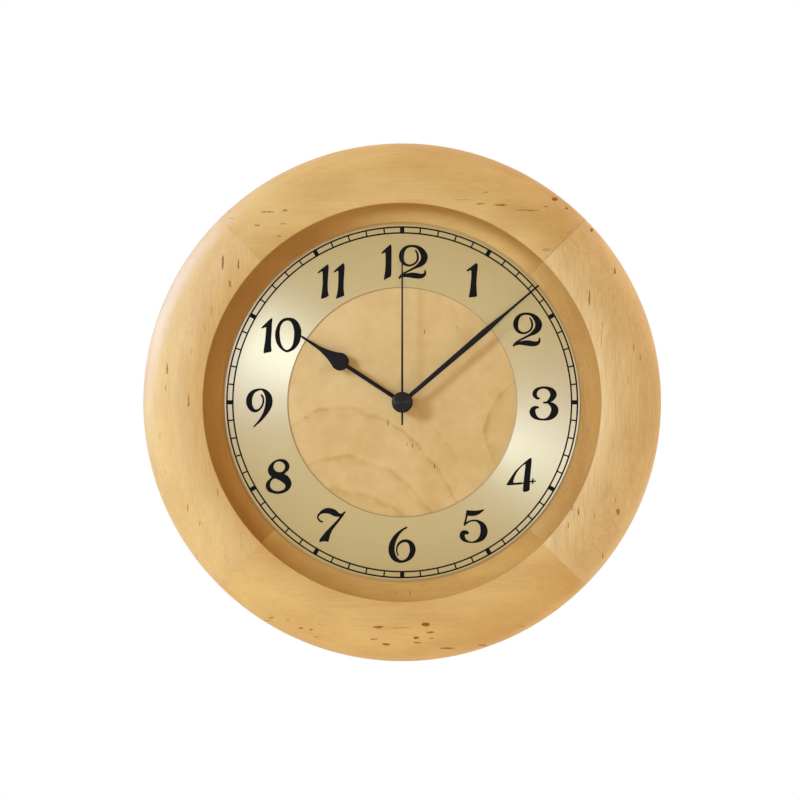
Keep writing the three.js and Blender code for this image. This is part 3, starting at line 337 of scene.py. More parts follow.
def beech(name, along, light, dark, arris_shade, lip_shade, flecks):
    """Lacquered beech with its grain along x or z, and its larger flecks where they show."""
    made, shader, place = finish(name, Roughness=0.6, Specular_IOR_Level=0.1, Coat_Roughness=0.5,
                                 Coat_IOR=1.5)
    grain_x = along == "x"

    def along_grain(share):
        return place.vector("MULTIPLY", (share, 1, 1) if grain_x else (1, 1, share))

    cloud = along_grain(0.4).noise(0.045, 3, 0.55)
    bands = along_grain(0.1).vector("ADD", (40, 7, 11)).noise(0.14, 4, 0.62, 0.4)
    fibres = along_grain(0.045).noise(1.3, 4, 0.7)
    fibre_share = FIBRE_SHARES[along]
    tone = (cloud.step(0.32, 0.68) * (1 - BAND_SHARE - fibre_share)
            + bands.step(0.25, 0.75) * BAND_SHARE + fibres.step(0.34, 0.66) * fibre_share)
    body = tone.blend(light, dark)
    pores = along_grain(0.09).noise(3.6, 2, 0.6).step(0.62, 0.78)
    body = (pores * 0.4).blend(body, colour(150, 96, 40))
    rays = along_grain(0.2)
    crowd = place.noise(0.02, 2, 0.5).step(0.4, 0.6)
    small = rays.cells(0.25).step(0.1, 0.05) * rays.cells(0.25, 1).axes()[0].step(0.4, 0.7) * crowd
    body = (small * 0.6).blend(body, colour(150, 84, 30))
    x, depth, height = place.axes()
    y = height - AXIS_HEIGHT * 1000
    ragged = place.noise(0.8, 3, 0.65, output=1).axes()
    marked = flecked(body, x + (ragged[0] - 0.5) * RAGGED, y + (ragged[2] - 0.5) * RAGGED,
                     flecks, grain_x, colour(138, 72, 0))
    body = depth.step(*FLECKED_FROM).blend(body, marked)
    out = off_axis(x, y)
    # Painted shade: the cove is darkened, most near the arris whose shadow falls there, and more on
    # its right and upper left sides.
    hollow = out.step(ARRIS_RADIUS + 0.1, ARRIS_RADIUS - 0.5)
    cove_shade = out.step(ARRIS_RADIUS - 1, OPENING_RADIUS + 2).blend(arris_shade, lip_shade)
    painted_cove_shade = (x / out).step(0.5, 0.9).blend(cove_shade, COVE_SHADE_RIGHT)
    painted_cove_shade = ((y - x) * DIAGONAL / out).step(0.72, 1).blend(painted_cove_shade, COVE_SHADE_UPPER_LEFT)
    body = hollow.blend(body, hollow.blend(body, painted_cove_shade, "MULTIPLY"))
    joint = abs((abs(x) - abs(y)) * DIAGONAL).step(*GLUE_LINE)
    body = (joint * (x + y).step(60, 150) * 0.35 + joint * 0.12).blend(body, colour(150, 98, 50))
    relief = pores * -0.4 + fibres * 0.3
    feed(shader, Base_Color=body, Coat_Weight=0.2 - hollow * 0.17, Normal=relief.bump(0.02, 0.35))
    return made


GRAIN_FLECKS = {
    "top": [
        (267.5, 212, 15, 1.3, 0.8), (285, 210.5, 6, 1.8, 0.8), (257, 225.5, 6, 1.8, 0.6),
        (283, 224, 6, 1, 0.5), (279, 236.5, 5, 1, 0.7), (231, 218, 7, 1, 0.5),
        (227.5, 210, 5, 1, 0.5), (485, 192.5, 5, 1.2, 0.6), (480, 204, 10, 1.3, 0.8),
        (499.5, 205.3, 15, 1.6, 0.9), (526, 210.5, 25, 1, 0.75), (554, 198.8, 7, 4, 0.85),
        (544.5, 206.5, 5, 1.3, 0.8), (566, 208, 4, 2, 0.8), (461, 200, 20, 0.9, 0.35),
        (545, 250, 9, 3, 0.3), (547, 257, 7, 1.5, 0.25)],
    "left": [
        (223, 262.5, 16, 2.2, 0.9), (238.7, 264.5, 10, 1.8, 0.75), (230, 283.7, 8, 2, 0.7),
        (211.7, 311, 13, 1, 0.45), (205, 327.5, 9, 1.1, 0.4), (167.5, 368.7, 11, 2, 0.7),
        (166, 387, 10, 1, 0.6), (189, 400, 13, 1.6, 0.75), (218, 492, 9, 1.2, 0.5),
        (188, 507, 8, 1.5, 0.7), (200, 522, 7, 1, 0.5), (196, 557, 8, 1, 0.5), (160, 436, 8, 1, 0.4)],
    "right": [
        (591, 229.5, 4, 3.5, 0.8), (614, 271, 7, 2.2, 0.75), (588, 297.5, 17, 1.5, 0.75),
        (600, 337.5, 18, 1, 0.45), (601, 325, 8, 1, 0.4), (632.5, 347.5, 9, 1, 0.6),
        (639, 357, 8, 1.2, 0.5), (627, 380, 9, 1, 0.4), (577, 511, 9, 1.6, 0.75),
        (571, 507, 6, 1.2, 0.6), (567, 524, 7, 1.1, 0.5), (617, 511, 7, 4, 0.6),
        (602, 555, 7, 1.3, 0.6)],
    "bottom": [
        (270.7, 617, 6, 1.6, 0.7), (267, 620, 8, 1, 0.6), (288, 619, 3, 1.6, 0.6),
        (300.5, 627, 6, 1.8, 0.75), (311, 628.6, 4, 1.8, 0.75), (316, 636, 5, 1.2, 0.6),
        (377.7, 625.6, 11, 2.6, 0.75), (400, 626.4, 22, 0.9, 0.5), (425, 623, 9, 4.5, 0.85),
        (430, 631, 8, 2, 0.8), (415.6, 636.4, 6, 2.6, 0.85), (417, 641.3, 8, 1.6, 0.8),
        (385.8, 643, 9, 1.8, 0.8), (373.6, 637.8, 8, 1.2, 0.65), (430.5, 637, 4, 1.2, 0.6),
        (446.8, 647.3, 16, 1.6, 0.8), (482, 644.6, 10, 1.2, 0.75), (556, 609, 8, 1, 0.5),
        (521, 626, 8, 1, 0.5), (409.6, 592.5, 1.5, 6, 0.4), (461.5, 584, 1.4, 8, 0.2),
        (421.5, 584.3, 5, 1.3, 0.25), (391, 585, 2, 1.6, 0.25), (376.5, 593.8, 2, 1.6, 0.25),
        (394.5, 593, 1.3, 5, 0.2), (465.5, 588, 1.6, 3, 0.2)],
}
# Each segment's grain direction, its light and dark wood, and the painted shade that darkens its
# cove, at the arris and at the lip.
SEGMENT_TONES = {
    "top": ("x", colour(206, 165, 96), colour(186, 141, 75),
            (0.62, 0.49, 0.34, 1), (0.96, 0.97, 1, 1)),
    "right": ("z", colour(222, 186, 125), colour(191, 150, 91),
              (0.78, 0.66, 0.48, 1), (0.87, 0.82, 0.72, 1)),
    "bottom": ("x", colour(211, 167, 96), colour(191, 143, 76),
               (0.95, 0.9, 0.8, 1), (0.98, 0.95, 0.9, 1)),
    "left": ("z", colour(209, 169, 103), colour(191, 145, 83),
             (0.75, 0.62, 0.44, 1), (0.83, 0.7, 0.52, 1)),
}

HANGER_MIDDLE = 132.1
HANGER_HALF = (16.0, 6.5)
PLATE_FRONT = 1.3
PLATE_CORNER = 2.0
PLATE_CLEARANCE = 0.1
POCKET_HALF = 5.0
POCKET_CORNER = 3
POCKET_DEPTH = 8.0
BEHIND_WALL = -1
FRAME_CREASE = 28

for quarter, side in enumerate(SEGMENT_TONES):
    wood = beech(f"beech_{side}", *SEGMENT_TONES[side], GRAIN_FLECKS[side])
    segment = stand(f"frame_{side}", turned(frame_profile(), 72, quarter), wood, crease=FRAME_CREASE)
    if side == "top":
        recess = rounded_outline(*(half + PLATE_CLEARANCE for half in HANGER_HALF),
                                 PLATE_CORNER + PLATE_CLEARANCE, HANGER_MIDDLE)
        carve(segment, plate(recess, BEHIND_WALL, PLATE_FRONT + PLATE_CLEARANCE - BEHIND_WALL))
        pocket = rounded_outline(POCKET_HALF, HANGER_HALF[1], POCKET_CORNER, HANGER_MIDDLE)
        carve(segment, plate(pocket, BEHIND_WALL, POCKET_DEPTH - BEHIND_WALL))
    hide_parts(f"frame_segment_{side}")


# Mitre dowels: short birch pegs glued across the four joints, out of sight inside the wood. They
# keep their plain shape, as most pieces inside do, and take a finish of their own.


def coat(material, *nodes):
    """Finishes CAD pieces that keep their plain shape."""
    for node in nodes:
        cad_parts[node].data.materials[0] = material


peg_wood, shader, place = finish("birch_peg", Roughness=0.6)
peg_grain = place.noise(0.6, 3, 0.6)
feed(shader, Base_Color=peg_grain.step(0.3, 0.7).blend(colour(222, 192, 146), colour(200, 164, 114)),
     Normal=peg_grain.bump(0.03, 0.3))
coat(peg_wood, *(f"mitre_dowel_{corner}" for corner in ("ne", "se", "sw", "nw")))


# Hanger: a stamped steel keyhole plate let into the back of the top segment with two wood screws.
# The nail's head goes through the round hole and the slot drops onto its shank.

SAME_PLACE = Matrix.Identity(4)
SHARP_ABOVE = 30


def softened(node, material, edge, body="clock_body", segments=2):
    """The CAD piece with its edges broken, as stamping, moulding or turning leaves them."""
    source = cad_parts[node].data
    bm = bmesh.new()
    bm.from_mesh(source)
    bmesh.ops.remove_doubles(bm, verts=bm.verts, dist=1e-6)
    bmesh.ops.dissolve_limit(bm, angle_limit=math.radians(1), verts=bm.verts, edges=bm.edges)
    sharp = [e for e in bm.edges
             if e.is_manifold and e.calc_face_angle(0) > math.radians(SHARP_ABOVE)]
    bmesh.ops.bevel(bm, geom=sharp, offset=edge / 1000, segments=segments, profile=0.5,
                    affect="EDGES", clamp_overlap=True)
    piece = stand(f"{node}_fine", bm, material, body, crease=40, place=SAME_PLACE)
    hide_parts(node)


zinc, shader, place = finish("zinc_steel", Metallic=1.0, Roughness=0.34)
spangle = place.cells(0.7, 1).axes()[0]
scuffs = place.vector("MULTIPLY", (1, 1, 0.05)).noise(3.0, 3, 0.6)
feed(shader, Base_Color=spangle.blend(colour(176, 178, 180), colour(196, 197, 196)),
     Roughness=scuffs * 0.2 + spangle * 0.08 + 0.2, Normal=scuffs.bump(0.01, 0.3))
softened("hanger_plate", zinc, 0.18)
softened("hanger_screw_left", zinc, 0.08)
softened("hanger_screw_right", zinc, 0.08)


# Dial board: round birch plywood, its clear face showing in the middle and as a thin strip
# outside the metal ring, painted darker there as the shade under the frame's lip. The veneer's figure
# stands in nested arches.

board_birch, shader, place = finish("birch_dial", Roughness=0.6, Specular_IOR_Level=0.12)
x, depth, height = place.axes()
y = height - AXIS_HEIGHT * 1000


def growth_line(past, edge, peak, near, far, far_share):
    """A line of late wood, sharp at its edge and fading past it, near by and further on."""
    fading = past.step(far, peak) * far_share + past.step(near, peak) * (1 - far_share)
    return past.step(edge, peak) * fading


# Five arches lie one below the other, each at its height over the axis and with its strength. A
# sixth line stands on its side at the right.
ARCHES = ((-2, 0.6), (-31, 0.55), (-51, 0.5), (20, 0.2), (-70, 0.3))
ARCH_MIDDLE = -35
ARCH_BEND = 0.012
wander = place.noise(0.07, 3, 0.42) * 10 - 5
arch = y + (x - ARCH_MIDDLE) ** 2 * ARCH_BEND + wander
figure = None
for level, weight in ARCHES:
    line = growth_line(level - arch, -2, 0.6, 3, 8, 0.45) * weight
    figure = line if figure is None else figure.most(line)
SIDE_ARCH = (48, -17)
SIDE_BEND = 0.019
beside = x - ((y - SIDE_ARCH[1]) ** 2 * SIDE_BEND + SIDE_ARCH[0]) + wander * 0.6
side_line = growth_line(beside, -1.6, 0.3, 2.2, 6, 0.4)
figure = figure.most(side_line * y.step(-42, -24) * y.step(24, 6) * 0.7)
patches = place.noise(0.11, 2, 0.5).step(0.35, 0.65)
cloud = place.vector("MULTIPLY", (1, 1, 0.6)).noise(0.035, 3, 0.6)
# Painted shade: the board darkens from the upper left towards the lower right, away from the lamp.
ply_tone_and_shade = cloud.step(0.3, 0.7) * 0.45 + (x - y).step(-70, 70) * 0.3 + patches * 0.25
board_body = ply_tone_and_shade.blend(colour(212, 175, 116), colour(194, 155, 92))
board_body = (figure * (patches * 0.5 + 0.3)).blend(board_body, colour(172, 124, 44))
board_pores = place.vector("MULTIPLY", (1, 1, 0.2)).noise(3.4, 2, 0.6).step(0.64, 0.82)
board_body = (board_pores * 0.16).blend(board_body, colour(160, 110, 56))
SPECKS = [(387.5, 422.5, 8, 1.2, 0.7), (412, 445, 5, 1.2, 0.7), (407, 444, 3, 1, 0.5),
          (434, 466, 5, 1.2, 0.7), (424, 331, 5, 1.2, 0.6), (305, 417, 2, 1.2, 0.6),
          (456, 327, 3, 1, 0.4), (419, 448, 3, 1.2, 0.4)]
board_body = flecked(board_body, x, y, SPECKS, False, colour(110, 66, 30))
# Painted shade: the thin strip of board between the ring and the frame's lip is darkened as the shade
# of that gap.
RIM_STRIP = (102.4, 103)
FRONT_FACE = (-23, -23.8)
lip_gap_shade = off_axis(x, y).step(*RIM_STRIP) * depth.step(*FRONT_FACE)
board_body = lip_gap_shade.blend(board_body, colour(188, 148, 85))
feed(shader, Base_Color=board_body, Normal=(board_pores * -1.0).bump(0.02, 0.3))
coat(board_birch, "dial_board")


# Chapter ring: thin champagne-anodised metal with a spun, circular brushed face, a hair proud of the
# board. Its numerals and minute track are screen printed in near black.

RING_INNER = 66.2
RING_OUTER = 102.8
RING_BACK = 24.1
RING_FRONT = 24.6
RING_BEVEL = 0.1

spun, shader, place = finish("spun_champagne", Metallic=0.6, IOR=2.3, Anisotropic=0.85,
                             Anisotropic_Rotation=0.25)
ring_x, ring_y, _ = place.axes()
radius = off_axis(ring_x, ring_y)
grooves = place.node("ShaderNodeTexNoise", {"noise_dimensions": "1D"},
                     {"W": radius, "Scale": 2.6, "Detail": 3.0, "Roughness": 0.7})
ring_body = grooves.blend(colour(172, 145, 82), colour(188, 161, 98))
# Painted light: the ring is lighter toward its inner edge, away from the frame's shade.
ring_body = (radius.step(100, 66) * 0.2).blend(ring_body, colour(214, 190, 132))
# Painted shade: a dark brown line along the ring's inner edge, where it stands off the board.
inner_edge_shade = radius.step(RING_INNER + 0.55, RING_INNER + 0.3)
ring_body = (inner_edge_shade * 0.6).blend(ring_body, colour(132, 94, 48))
feed(shader, Base_Color=ring_body, Roughness=grooves * 0.1 + 0.37)
ring_profile = [(RING_INNER, RING_BACK), (RING_INNER, RING_FRONT - RING_BEVEL),
                (RING_INNER + RING_BEVEL, RING_FRONT), (RING_OUTER - RING_BEVEL, RING_FRONT),
                (RING_OUTER, RING_FRONT - RING_BEVEL), (RING_OUTER, RING_BACK)]
FROM_MM = Matrix.Scale(0.001, 4)
ring = stand("chapter_ring", turned(ring_profile, 256), spun, crease=20, place=FROM_MM)
ring.matrix_world = UPRIGHT
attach(ring, "clock_body")
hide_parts("dial_ring")

# Ink stands a little off the metal, and strokes that cross lie a step apart.
INK = 0.03
INK_STEP = 0.004
INK_SPREAD = 0.1


def spread(points, amount):
    """A closed outline moved outwards by an amount, or inwards where it is negative."""
    turn = sum(a[0] * b[1] - b[0] * a[1] for a, b in zip(points, points[1:] + points[:1]))
    moved = []
    for before, (px, py), after in zip(points[-1:] + points[:-1], points, points[1:] + points[:1]):
        along = Vector((after[0] - before[0], after[1] - before[1])).normalized()
        out = amount if turn > 0 else -amount
        moved.append((px + along.y * out, py - along.x * out))
    return moved


def inked(bm, loops, height, border=0.0):
    """Lays down one shape of ink: its outline, the counters inside it and a border past both."""
    points = [[Vector((x, y, height)) for x, y in loop] for loop in loops]
    verts = [bm.verts.new(p) for loop in points for p in loop]
    for corners in tessellate_polygon(points):
        bm.faces.new([verts[i] for i in corners])
    first = 0
    for k, loop in enumerate(loops):
        edges = [verts[first:first + len(loop)]]
        first += len(loop)
        if border:
            loop = spread(loop, -border if k else border)
            edges.append([bm.verts.new((x, y, height)) for x, y in loop])
        edges.append([bm.verts.new((x, y, RING_FRONT)) for x, y in loop])
        for near, far in zip(edges, edges[1:]):
            for corners in zip(near, near[1:] + near[:1], far[1:] + far[:1], far):
                bm.faces.new(corners)


def rounded_loop(points):
    """A closed outline whose corners are cut twice, a fifth of the way along each side."""
    for _ in range(2):
        eased = []
        for a, b in zip(points, points[1:] + points[:1]):
            for share in (0.2, 0.8):
                eased.append(tuple((1 - share) * p + share * q for p, q in zip(a, b)))
        points = eased
    return points


def brushed(points):
    """The outline of a stroke that swells and thins along its middle line."""
    path = []
    ends = [points[0]] + points + [points[-1]]
    for a, b, c, d in zip(ends, ends[1:], ends[2:], ends[3:]):
        for i in range(4):
            t = i / 4
            path.append(tuple(0.5 * (2 * q + (r - p) * t + (2 * p - 5 * q + 4 * r - s) * t * t
                                     + (3 * q - p - 3 * r + s) * t ** 3)
                              for p, q, r, s in zip(a, b, c, d)))
    path.append(points[-1])
    left, right = [], []
    for i, (px, py, width) in enumerate(path):
        before, after = path[max(i - 1, 0)], path[min(i + 1, len(path) - 1)]
        along = Vector((after[0] - before[0], after[1] - before[1])).normalized() * width / 2
        left.append((px - along.y, py + along.x))
        right.append((px + along.y, py - along.x))
    return left + right[::-1]


# The figures, read off the photograph in its pixels: a fill has its outline and counters, and
# a stroke its middle line with the width at each point.
FIGURES = {
    "twelve": [
        ("fill", [(380.6, 252.4), (389.6, 244), (391, 244.8), (390.9, 260), (390.8, 276),
                  (387, 277.4), (384, 279.3), (383.4, 278.6), (384.3, 274), (385.2, 266),
                  (385.2, 253), (384.6, 251.6), (382, 253.2)]),
        ("stroke", (414.8, 249.6, 1.2), (416.6, 252.5, 1.6), (417.4, 256.5, 1.8),
         (416.6, 260.3, 1.8), (414, 263.2, 1.7), (409.5, 265, 1.8), (405, 264, 2.4),
         (402, 261, 3.6), (400.9, 256, 4.8), (401.9, 251.3, 4.2), (404.6, 247.7, 3),
         (408, 245.9, 2.2), (412.5, 245.5, 2), (417, 246.7, 3), (421, 250, 5), (423.8, 255.5, 6.6),
         (422.8, 260.5, 6), (419.5, 264, 4.6), (415.5, 266.5, 2.4), (409, 269.9, 1.7),
         (404, 272.6, 1.7), (400.6, 275.3, 2), (398.5, 278, 1.6)),
        ("stroke", (400.5, 276.5, 1.6), (404, 275.2, 2.6), (409, 274.7, 4.4), (414, 275, 5.4),
         (419, 275.6, 4.8), (422.6, 275, 3.6), (424.6, 272.7, 2.2), (424.5, 269.6, 1))],
    "one": [
        ("fill", [(466, 269.8), (470.5, 266.5), (475, 263), (476.3, 262.8), (477.1, 263.8),
                  (477.1, 266.5), (476.5, 272), (476, 278), (475.8, 284), (476.1, 290),
                  (476.4, 295), (476, 296), (472, 296.6), (468.5, 296.8), (468.4, 296),
                  (469.3, 292), (470, 287), (470.5, 281.5), (471, 275.5), (471, 271),
                  (470.5, 269.3), (468.5, 270.3), (466.5, 270.8)])],
    "three": [
        ("stroke", (539.2, 397.8, 1.4), (536.8, 397.7, 2.4), (534.6, 395.3, 3.8),
         (534.3, 392.3, 4.2), (536.2, 389.3, 3.2), (539.5, 387.6, 2.2), (543.5, 387, 2),
         (547.5, 387.8, 3), (551.3, 390.3, 5.2), (553, 393.8, 6.2), (551.8, 397.2, 5.4),
         (549.2, 400, 3.6), (546.5, 401.9, 2), (542.6, 402.1, 1.4)),
        ("stroke", (547, 402, 1.6), (551, 403.9, 4), (553.7, 407, 6.4), (554.3, 410.3, 7),
         (552.8, 414, 6.4), (549.5, 417.2, 4.2), (545.5, 418.8, 2.2), (541.5, 419, 1.6),
         (537.5, 418.2, 2.4), (534, 415.8, 4.6), (532, 412, 5.8), (532.6, 408.8, 4.8),
         (535.3, 406.9, 2.8), (538.4, 407, 1.4))],
    "four": [
        ("fill", [(530.6, 456.8), (531.2, 459.5), (530.4, 467.9), (529.5, 476.2), (529.2, 485.1),
                  (529, 490.3), (522.3, 491.7), (522.9, 485.1), (523.7, 476.2), (524.8, 467.9),
                  (525.1, 462.9)]),
        ("fill", [(530.6, 456.8), (525.9, 460.4), (520.4, 465.1), (514.8, 470.6), (509.8, 477.9),
                  (507.1, 482.3), (506, 484.2), (507, 484.8), (522.6, 483.7), (523.1, 481.7),
                  (512.5, 482.6), (512.6, 480.6), (514, 476.2), (517, 470.6), (521.5, 465.4),
                  (526, 462.9)]),
        ("stroke", (527, 481.3, 1.2), (532, 481, 1.2), (535.3, 480.5, 0.9)),
        ("stroke", (532.5, 477.9, 0.6), (532.2, 480.6, 1.6), (532, 483.4, 0.6))],
    "five": [
        ("fill", [(466.2, 509.7), (469.8, 510.1), (475.4, 510.3), (479.8, 509.7), (484, 508.6),
                  (482.6, 510.5), (478.7, 513.6), (474.3, 515.3), (469.8, 515.4), (467, 515.3)]),
        ("fill", [(467, 515.5), (466.2, 518.9), (465.7, 521.6), (463.6, 525.5), (463, 524.4),
                  (464.5, 519.4), (465.4, 515), (465.9, 510), (467, 510)]),
        ("stroke", (463.6, 525, 1), (466, 522.6, 1.6), (470, 520.5, 1.4), (475, 520, 1.6),
         (479, 521.7, 3), (482, 524.7, 5.2), (483.5, 529.5, 6.8), (483, 534, 6.6),
         (480.7, 537.8, 5.2), (476.8, 540.5, 2.8), (472, 541.7, 1.3), (467.5, 541.2, 1.6),
         (463.8, 539.3, 3.4), (461.8, 536, 5), (462.4, 532.6, 4.6), (465.4, 531.8, 3.6),
         (468, 533, 2.2))],
    "six": [
        ("stroke", (406.6, 526.7, 1.4), (402.5, 529, 1.8), (398.3, 532.5, 2.8), (394.6, 537.3, 4.4),
         (391.9, 543, 5.4), (391, 549.5, 5.9), (392.3, 554.8, 5.6), (395.2, 558.8, 4.4),
         (400.5, 561.1, 2.4), (405.6, 559.8, 2.6), (409.8, 556.3, 4.4), (412.2, 550.5, 5.6),
         (411.6, 545.5, 5.2), (409, 541.6, 3.6), (405, 540.2, 2.6), (401, 541.2, 2.4),
         (397.8, 544, 1.8), (396.3, 548.2, 1.3), (396.5, 552, 1.1), (397.8, 555.2, 1.1))],
    "seven": [
        ("stroke", (322.2, 521.4, 1.6), (319.8, 520.6, 1.4), (317.7, 518.4, 1.4), (317.4, 516, 1.4),
         (318.7, 513.6, 2)),
        ("fill", [(317.6, 514.5), (319.3, 511.5), (322.5, 508.8), (327.3, 507.3), (332.6, 508.3),
                  (336.4, 510.4), (338.5, 512.8), (340.7, 513.6), (342.8, 512), (344.9, 510.7),
                  (345.2, 511.5), (342.3, 515.8), (339.1, 520), (335.3, 524.9), (331.6, 529.7),
                  (329.7, 534), (328.6, 538.2), (327.6, 541.7), (326.8, 540.9), (323, 540.6),
                  (319.5, 541.4), (318.5, 540.9), (319.8, 538.2), (323, 534), (326.8, 529.7),
                  (331.6, 524.9), (335.8, 520.6), (339.6, 516), (335.8, 516.2), (332.6, 515.2),
                  (328.9, 513.1), (324.1, 512.6), (319.8, 513.6), (318.4, 515.3)])],
    "eight": [
        ("fill", [(280, 458.3), (285.3, 459.3), (288.5, 463), (289, 466.2), (288, 469.4),
                  (285.3, 472.1), (283.4, 473.5), (286.4, 474.8), (289, 477.5), (290.9, 481.2),
                  (290.9, 485), (288.5, 489.2), (283.2, 492.5), (276.7, 493.6), (268.7, 491.7),
                  (266, 488.7), (265.1, 485), (266, 481.8), (269.2, 478.5), (271.4, 476.4),
                  (269.2, 474.8), (267.6, 471.6), (267.6, 467.8), (269.8, 463.6), (274.6, 459.8)],
         [(278.7, 460.6), (282.5, 461.9), (284.6, 464.8), (284.6, 468.2), (282.4, 471.2),
          (278.9, 471.9), (275.2, 470.9), (272.9, 467.8), (273.1, 464.1), (275.4, 461.4)],
         [(274.6, 477.7), (280, 480.1), (284.2, 483.4), (285.3, 486), (283.7, 489.2),
          (277.8, 491.1), (272.5, 490), (269.5, 486.6), (269.5, 482.8), (271.4, 479.1)])],
    "nine": [
        ("stroke", (260.6, 394.2, 1.4), (262.3, 396.5, 1.6), (262.9, 400, 1.6), (262, 404.5, 1.6),
         (259.5, 408.3, 1.7), (256, 410.3, 2.4), (252.3, 409.5, 3.6), (249.4, 405.5, 5.2),
         (248.6, 400.3, 5.8), (249.9, 395, 5), (253, 391.2, 3.4), (257.5, 389.2, 2),
         (261.5, 389, 1.8), (265, 391.2, 4), (267.8, 395.5, 6), (268.6, 400.5, 6.8),
         (268, 405, 6.6), (266.2, 409.8, 5.2), (263.3, 415, 3.6), (259.5, 420, 2.4),
         (256, 423.6, 1.6), (253.1, 426.5, 1))],
    "ten": [
        ("fill", [(260.4, 327.5), (271, 317.3), (271.8, 318), (271.3, 324), (271, 331.5),
                  (270.5, 339), (270.5, 346), (271, 350), (270.5, 351.3), (266, 352.1), (263, 353),
                  (263.5, 348), (264.5, 342), (265.3, 335), (265.8, 327.5), (265.5, 326.3),
                  (261.5, 328)]),
        ("fill", [(288.5, 317.1), (293.5, 318), (297.5, 321.5), (299.8, 326), (300.9, 330.5),
                  (300.3, 336.5), (299, 342), (296, 346.5), (292, 350), (286.3, 352.1), (282, 350),
                  (278, 346), (275.5, 341), (274.6, 335), (275, 330.5), (277, 324.5), (280, 320),
                  (283.5, 317.8)],
         [(286.3, 319.8), (290, 320.5), (292.5, 324.5), (293.8, 330), (293.8, 335.5), (293, 342),
          (291, 347), (286.5, 350.1), (283, 348), (280.5, 343.5), (279.3, 338), (279, 331),
          (280, 325.5), (282.5, 321.5)])],
    "eleven": [
        ("fill", [(317, 272.3), (321, 268.5), (327.3, 263.8), (328, 264.5), (328, 270),
                  (327.3, 277.5), (327, 285), (327.3, 292), (328.3, 294.5), (327.5, 295.8),
                  (323, 297.8), (320.5, 298.3), (320.8, 296), (321.5, 291), (322.3, 285),
                  (322.3, 280), (322.3, 272.5), (321.8, 270.5), (320, 271.5), (317.8, 273)]),
        ("fill", [(332.8, 271.5), (337.5, 267), (342.8, 262.5), (343.8, 263.8), (344, 267.5),
                  (343.5, 275), (343, 282.5), (343, 290), (343.8, 294), (343.5, 295.3),
                  (338, 297.3), (335.6, 298.3), (335.8, 297), (337, 292), (337.8, 286), (338, 280),
                  (338, 272.5), (337.9, 270.3), (336.5, 270.3), (333.8, 272)])],
}
# The two o'clock figure is the same 2 as in twelve, set a little lower and to the right.
TWO_SHIFT = (114.3, 67.7)
FIGURES["two"] = [(kind, *[(p[0] + TWO_SHIFT[0], p[1] + TWO_SHIFT[1], p[2]) for p in points])
                  for kind, *points in FIGURES["twelve"][1:]]

ink, shader, place = finish("dial_ink", Roughness=0.6, Specular_IOR_Level=0.03)
feed(shader, Base_Color=place.noise(1.5, 2, 0.5).blend(colour(16, 14, 13), colour(24, 21, 20)))
for name, shapes in FIGURES.items():
    bm = bmesh.new()
    for i, (kind, *parts) in enumerate(shapes):
        loops = [rounded_loop(part) for part in parts] if kind == "fill" else [brushed(parts)]
        loops = [[on_face(*point[:2]) for point in loop] for loop in loops]
        inked(bm, loops, RING_FRONT + INK + i * INK_STEP, INK_SPREAD)
    bmesh.ops.recalc_face_normals(bm, faces=bm.faces)
    stand(f"numeral_{name}", bm, ink)

TRACK_LINES = (97.9, 101.3)
TRACK_LINE_WIDTH = 0.9
MINUTE_WIDTH = 0.84
FIVE_MINUTE_WIDTH = 2.5
bm = bmesh.new()
for line in TRACK_LINES:
    around = [2 * math.pi * i / 240 for i in range(240)]
    edges = (line + TRACK_LINE_WIDTH / 2, line - TRACK_LINE_WIDTH / 2)
    inked(bm, [[(r * math.sin(a), r * math.cos(a)) for a in around] for r in edges],
          RING_FRONT + INK)
for minute in range(60):
    half = (MINUTE_WIDTH if minute % 5 else FIVE_MINUTE_WIDTH) / 2
    inner, outer = TRACK_LINES
    turn = Matrix.Rotation(-math.radians(6 * minute), 2)
    corners = ((-half, inner), (half, inner), (half, outer), (-half, outer))
    inked(bm, [[tuple(turn @ Vector(c)) for c in corners]], RING_FRONT + INK + INK_STEP)
bmesh.ops.recalc_face_normals(bm, faces=bm.faces)
stand("minute_track", bm, ink)


# Dial clips: three zinc-plated strips screwed to the ledge behind, reaching over the board's edge
# so that the dial can be taken out to the back.

for number in (1, 2, 3):
    softened(f"dial_clip_{number}", zinc, 0.15)
    softened(f"dial_clip_screw_{number}", zinc, 0.08)


# Movement case, its back cover and the setting knob: black moulded plastic with a fine spark
# texture, its edges rounded as they leave the mould.

moulded, shader, place = finish("moulded_black", Roughness=0.55, Specular_IOR_Level=0.4)
spark = place.noise(6.0, 3, 0.6)
handled = place.noise(0.09, 3, 0.5)
feed(shader, Base_Color=handled.blend(colour(34, 35, 37), colour(44, 45, 47)),
     Roughness=spark * 0.16 + 0.46, Normal=spark.bump(0.03, 0.5))
softened("movement_case", moulded, 0.35, segments=3)
softened("movement_cover", moulded, 0.25)
softened("setting_knob", moulded, 0.15, body="setting")


# Train plate, bobbin and wheels: natural acetal mouldings inside the case, an uneven off-white
# with a soft sheen.

acetal, shader, place = finish("acetal", Roughness=0.42)
flow = place.noise(0.5, 3, 0.55)
feed(shader, Base_Color=flow.blend(colour(236, 232, 222), colour(222, 217, 204)),
     Normal=flow.bump(0.02, 0.2))
coat(acetal, "train_plate", "coil_bobbin", "rotor_pinion", "intermediate_wheel", "seconds_wheel",
     "third_wheel", "centre_wheel", "minute_wheel", "hour_wheel")


# Stepping motor: laminated steel stator and core, a sintered rotor magnet, and a coil of enamelled
# copper wire. The crystal's can and the seconds shaft share the stator's bright steel.

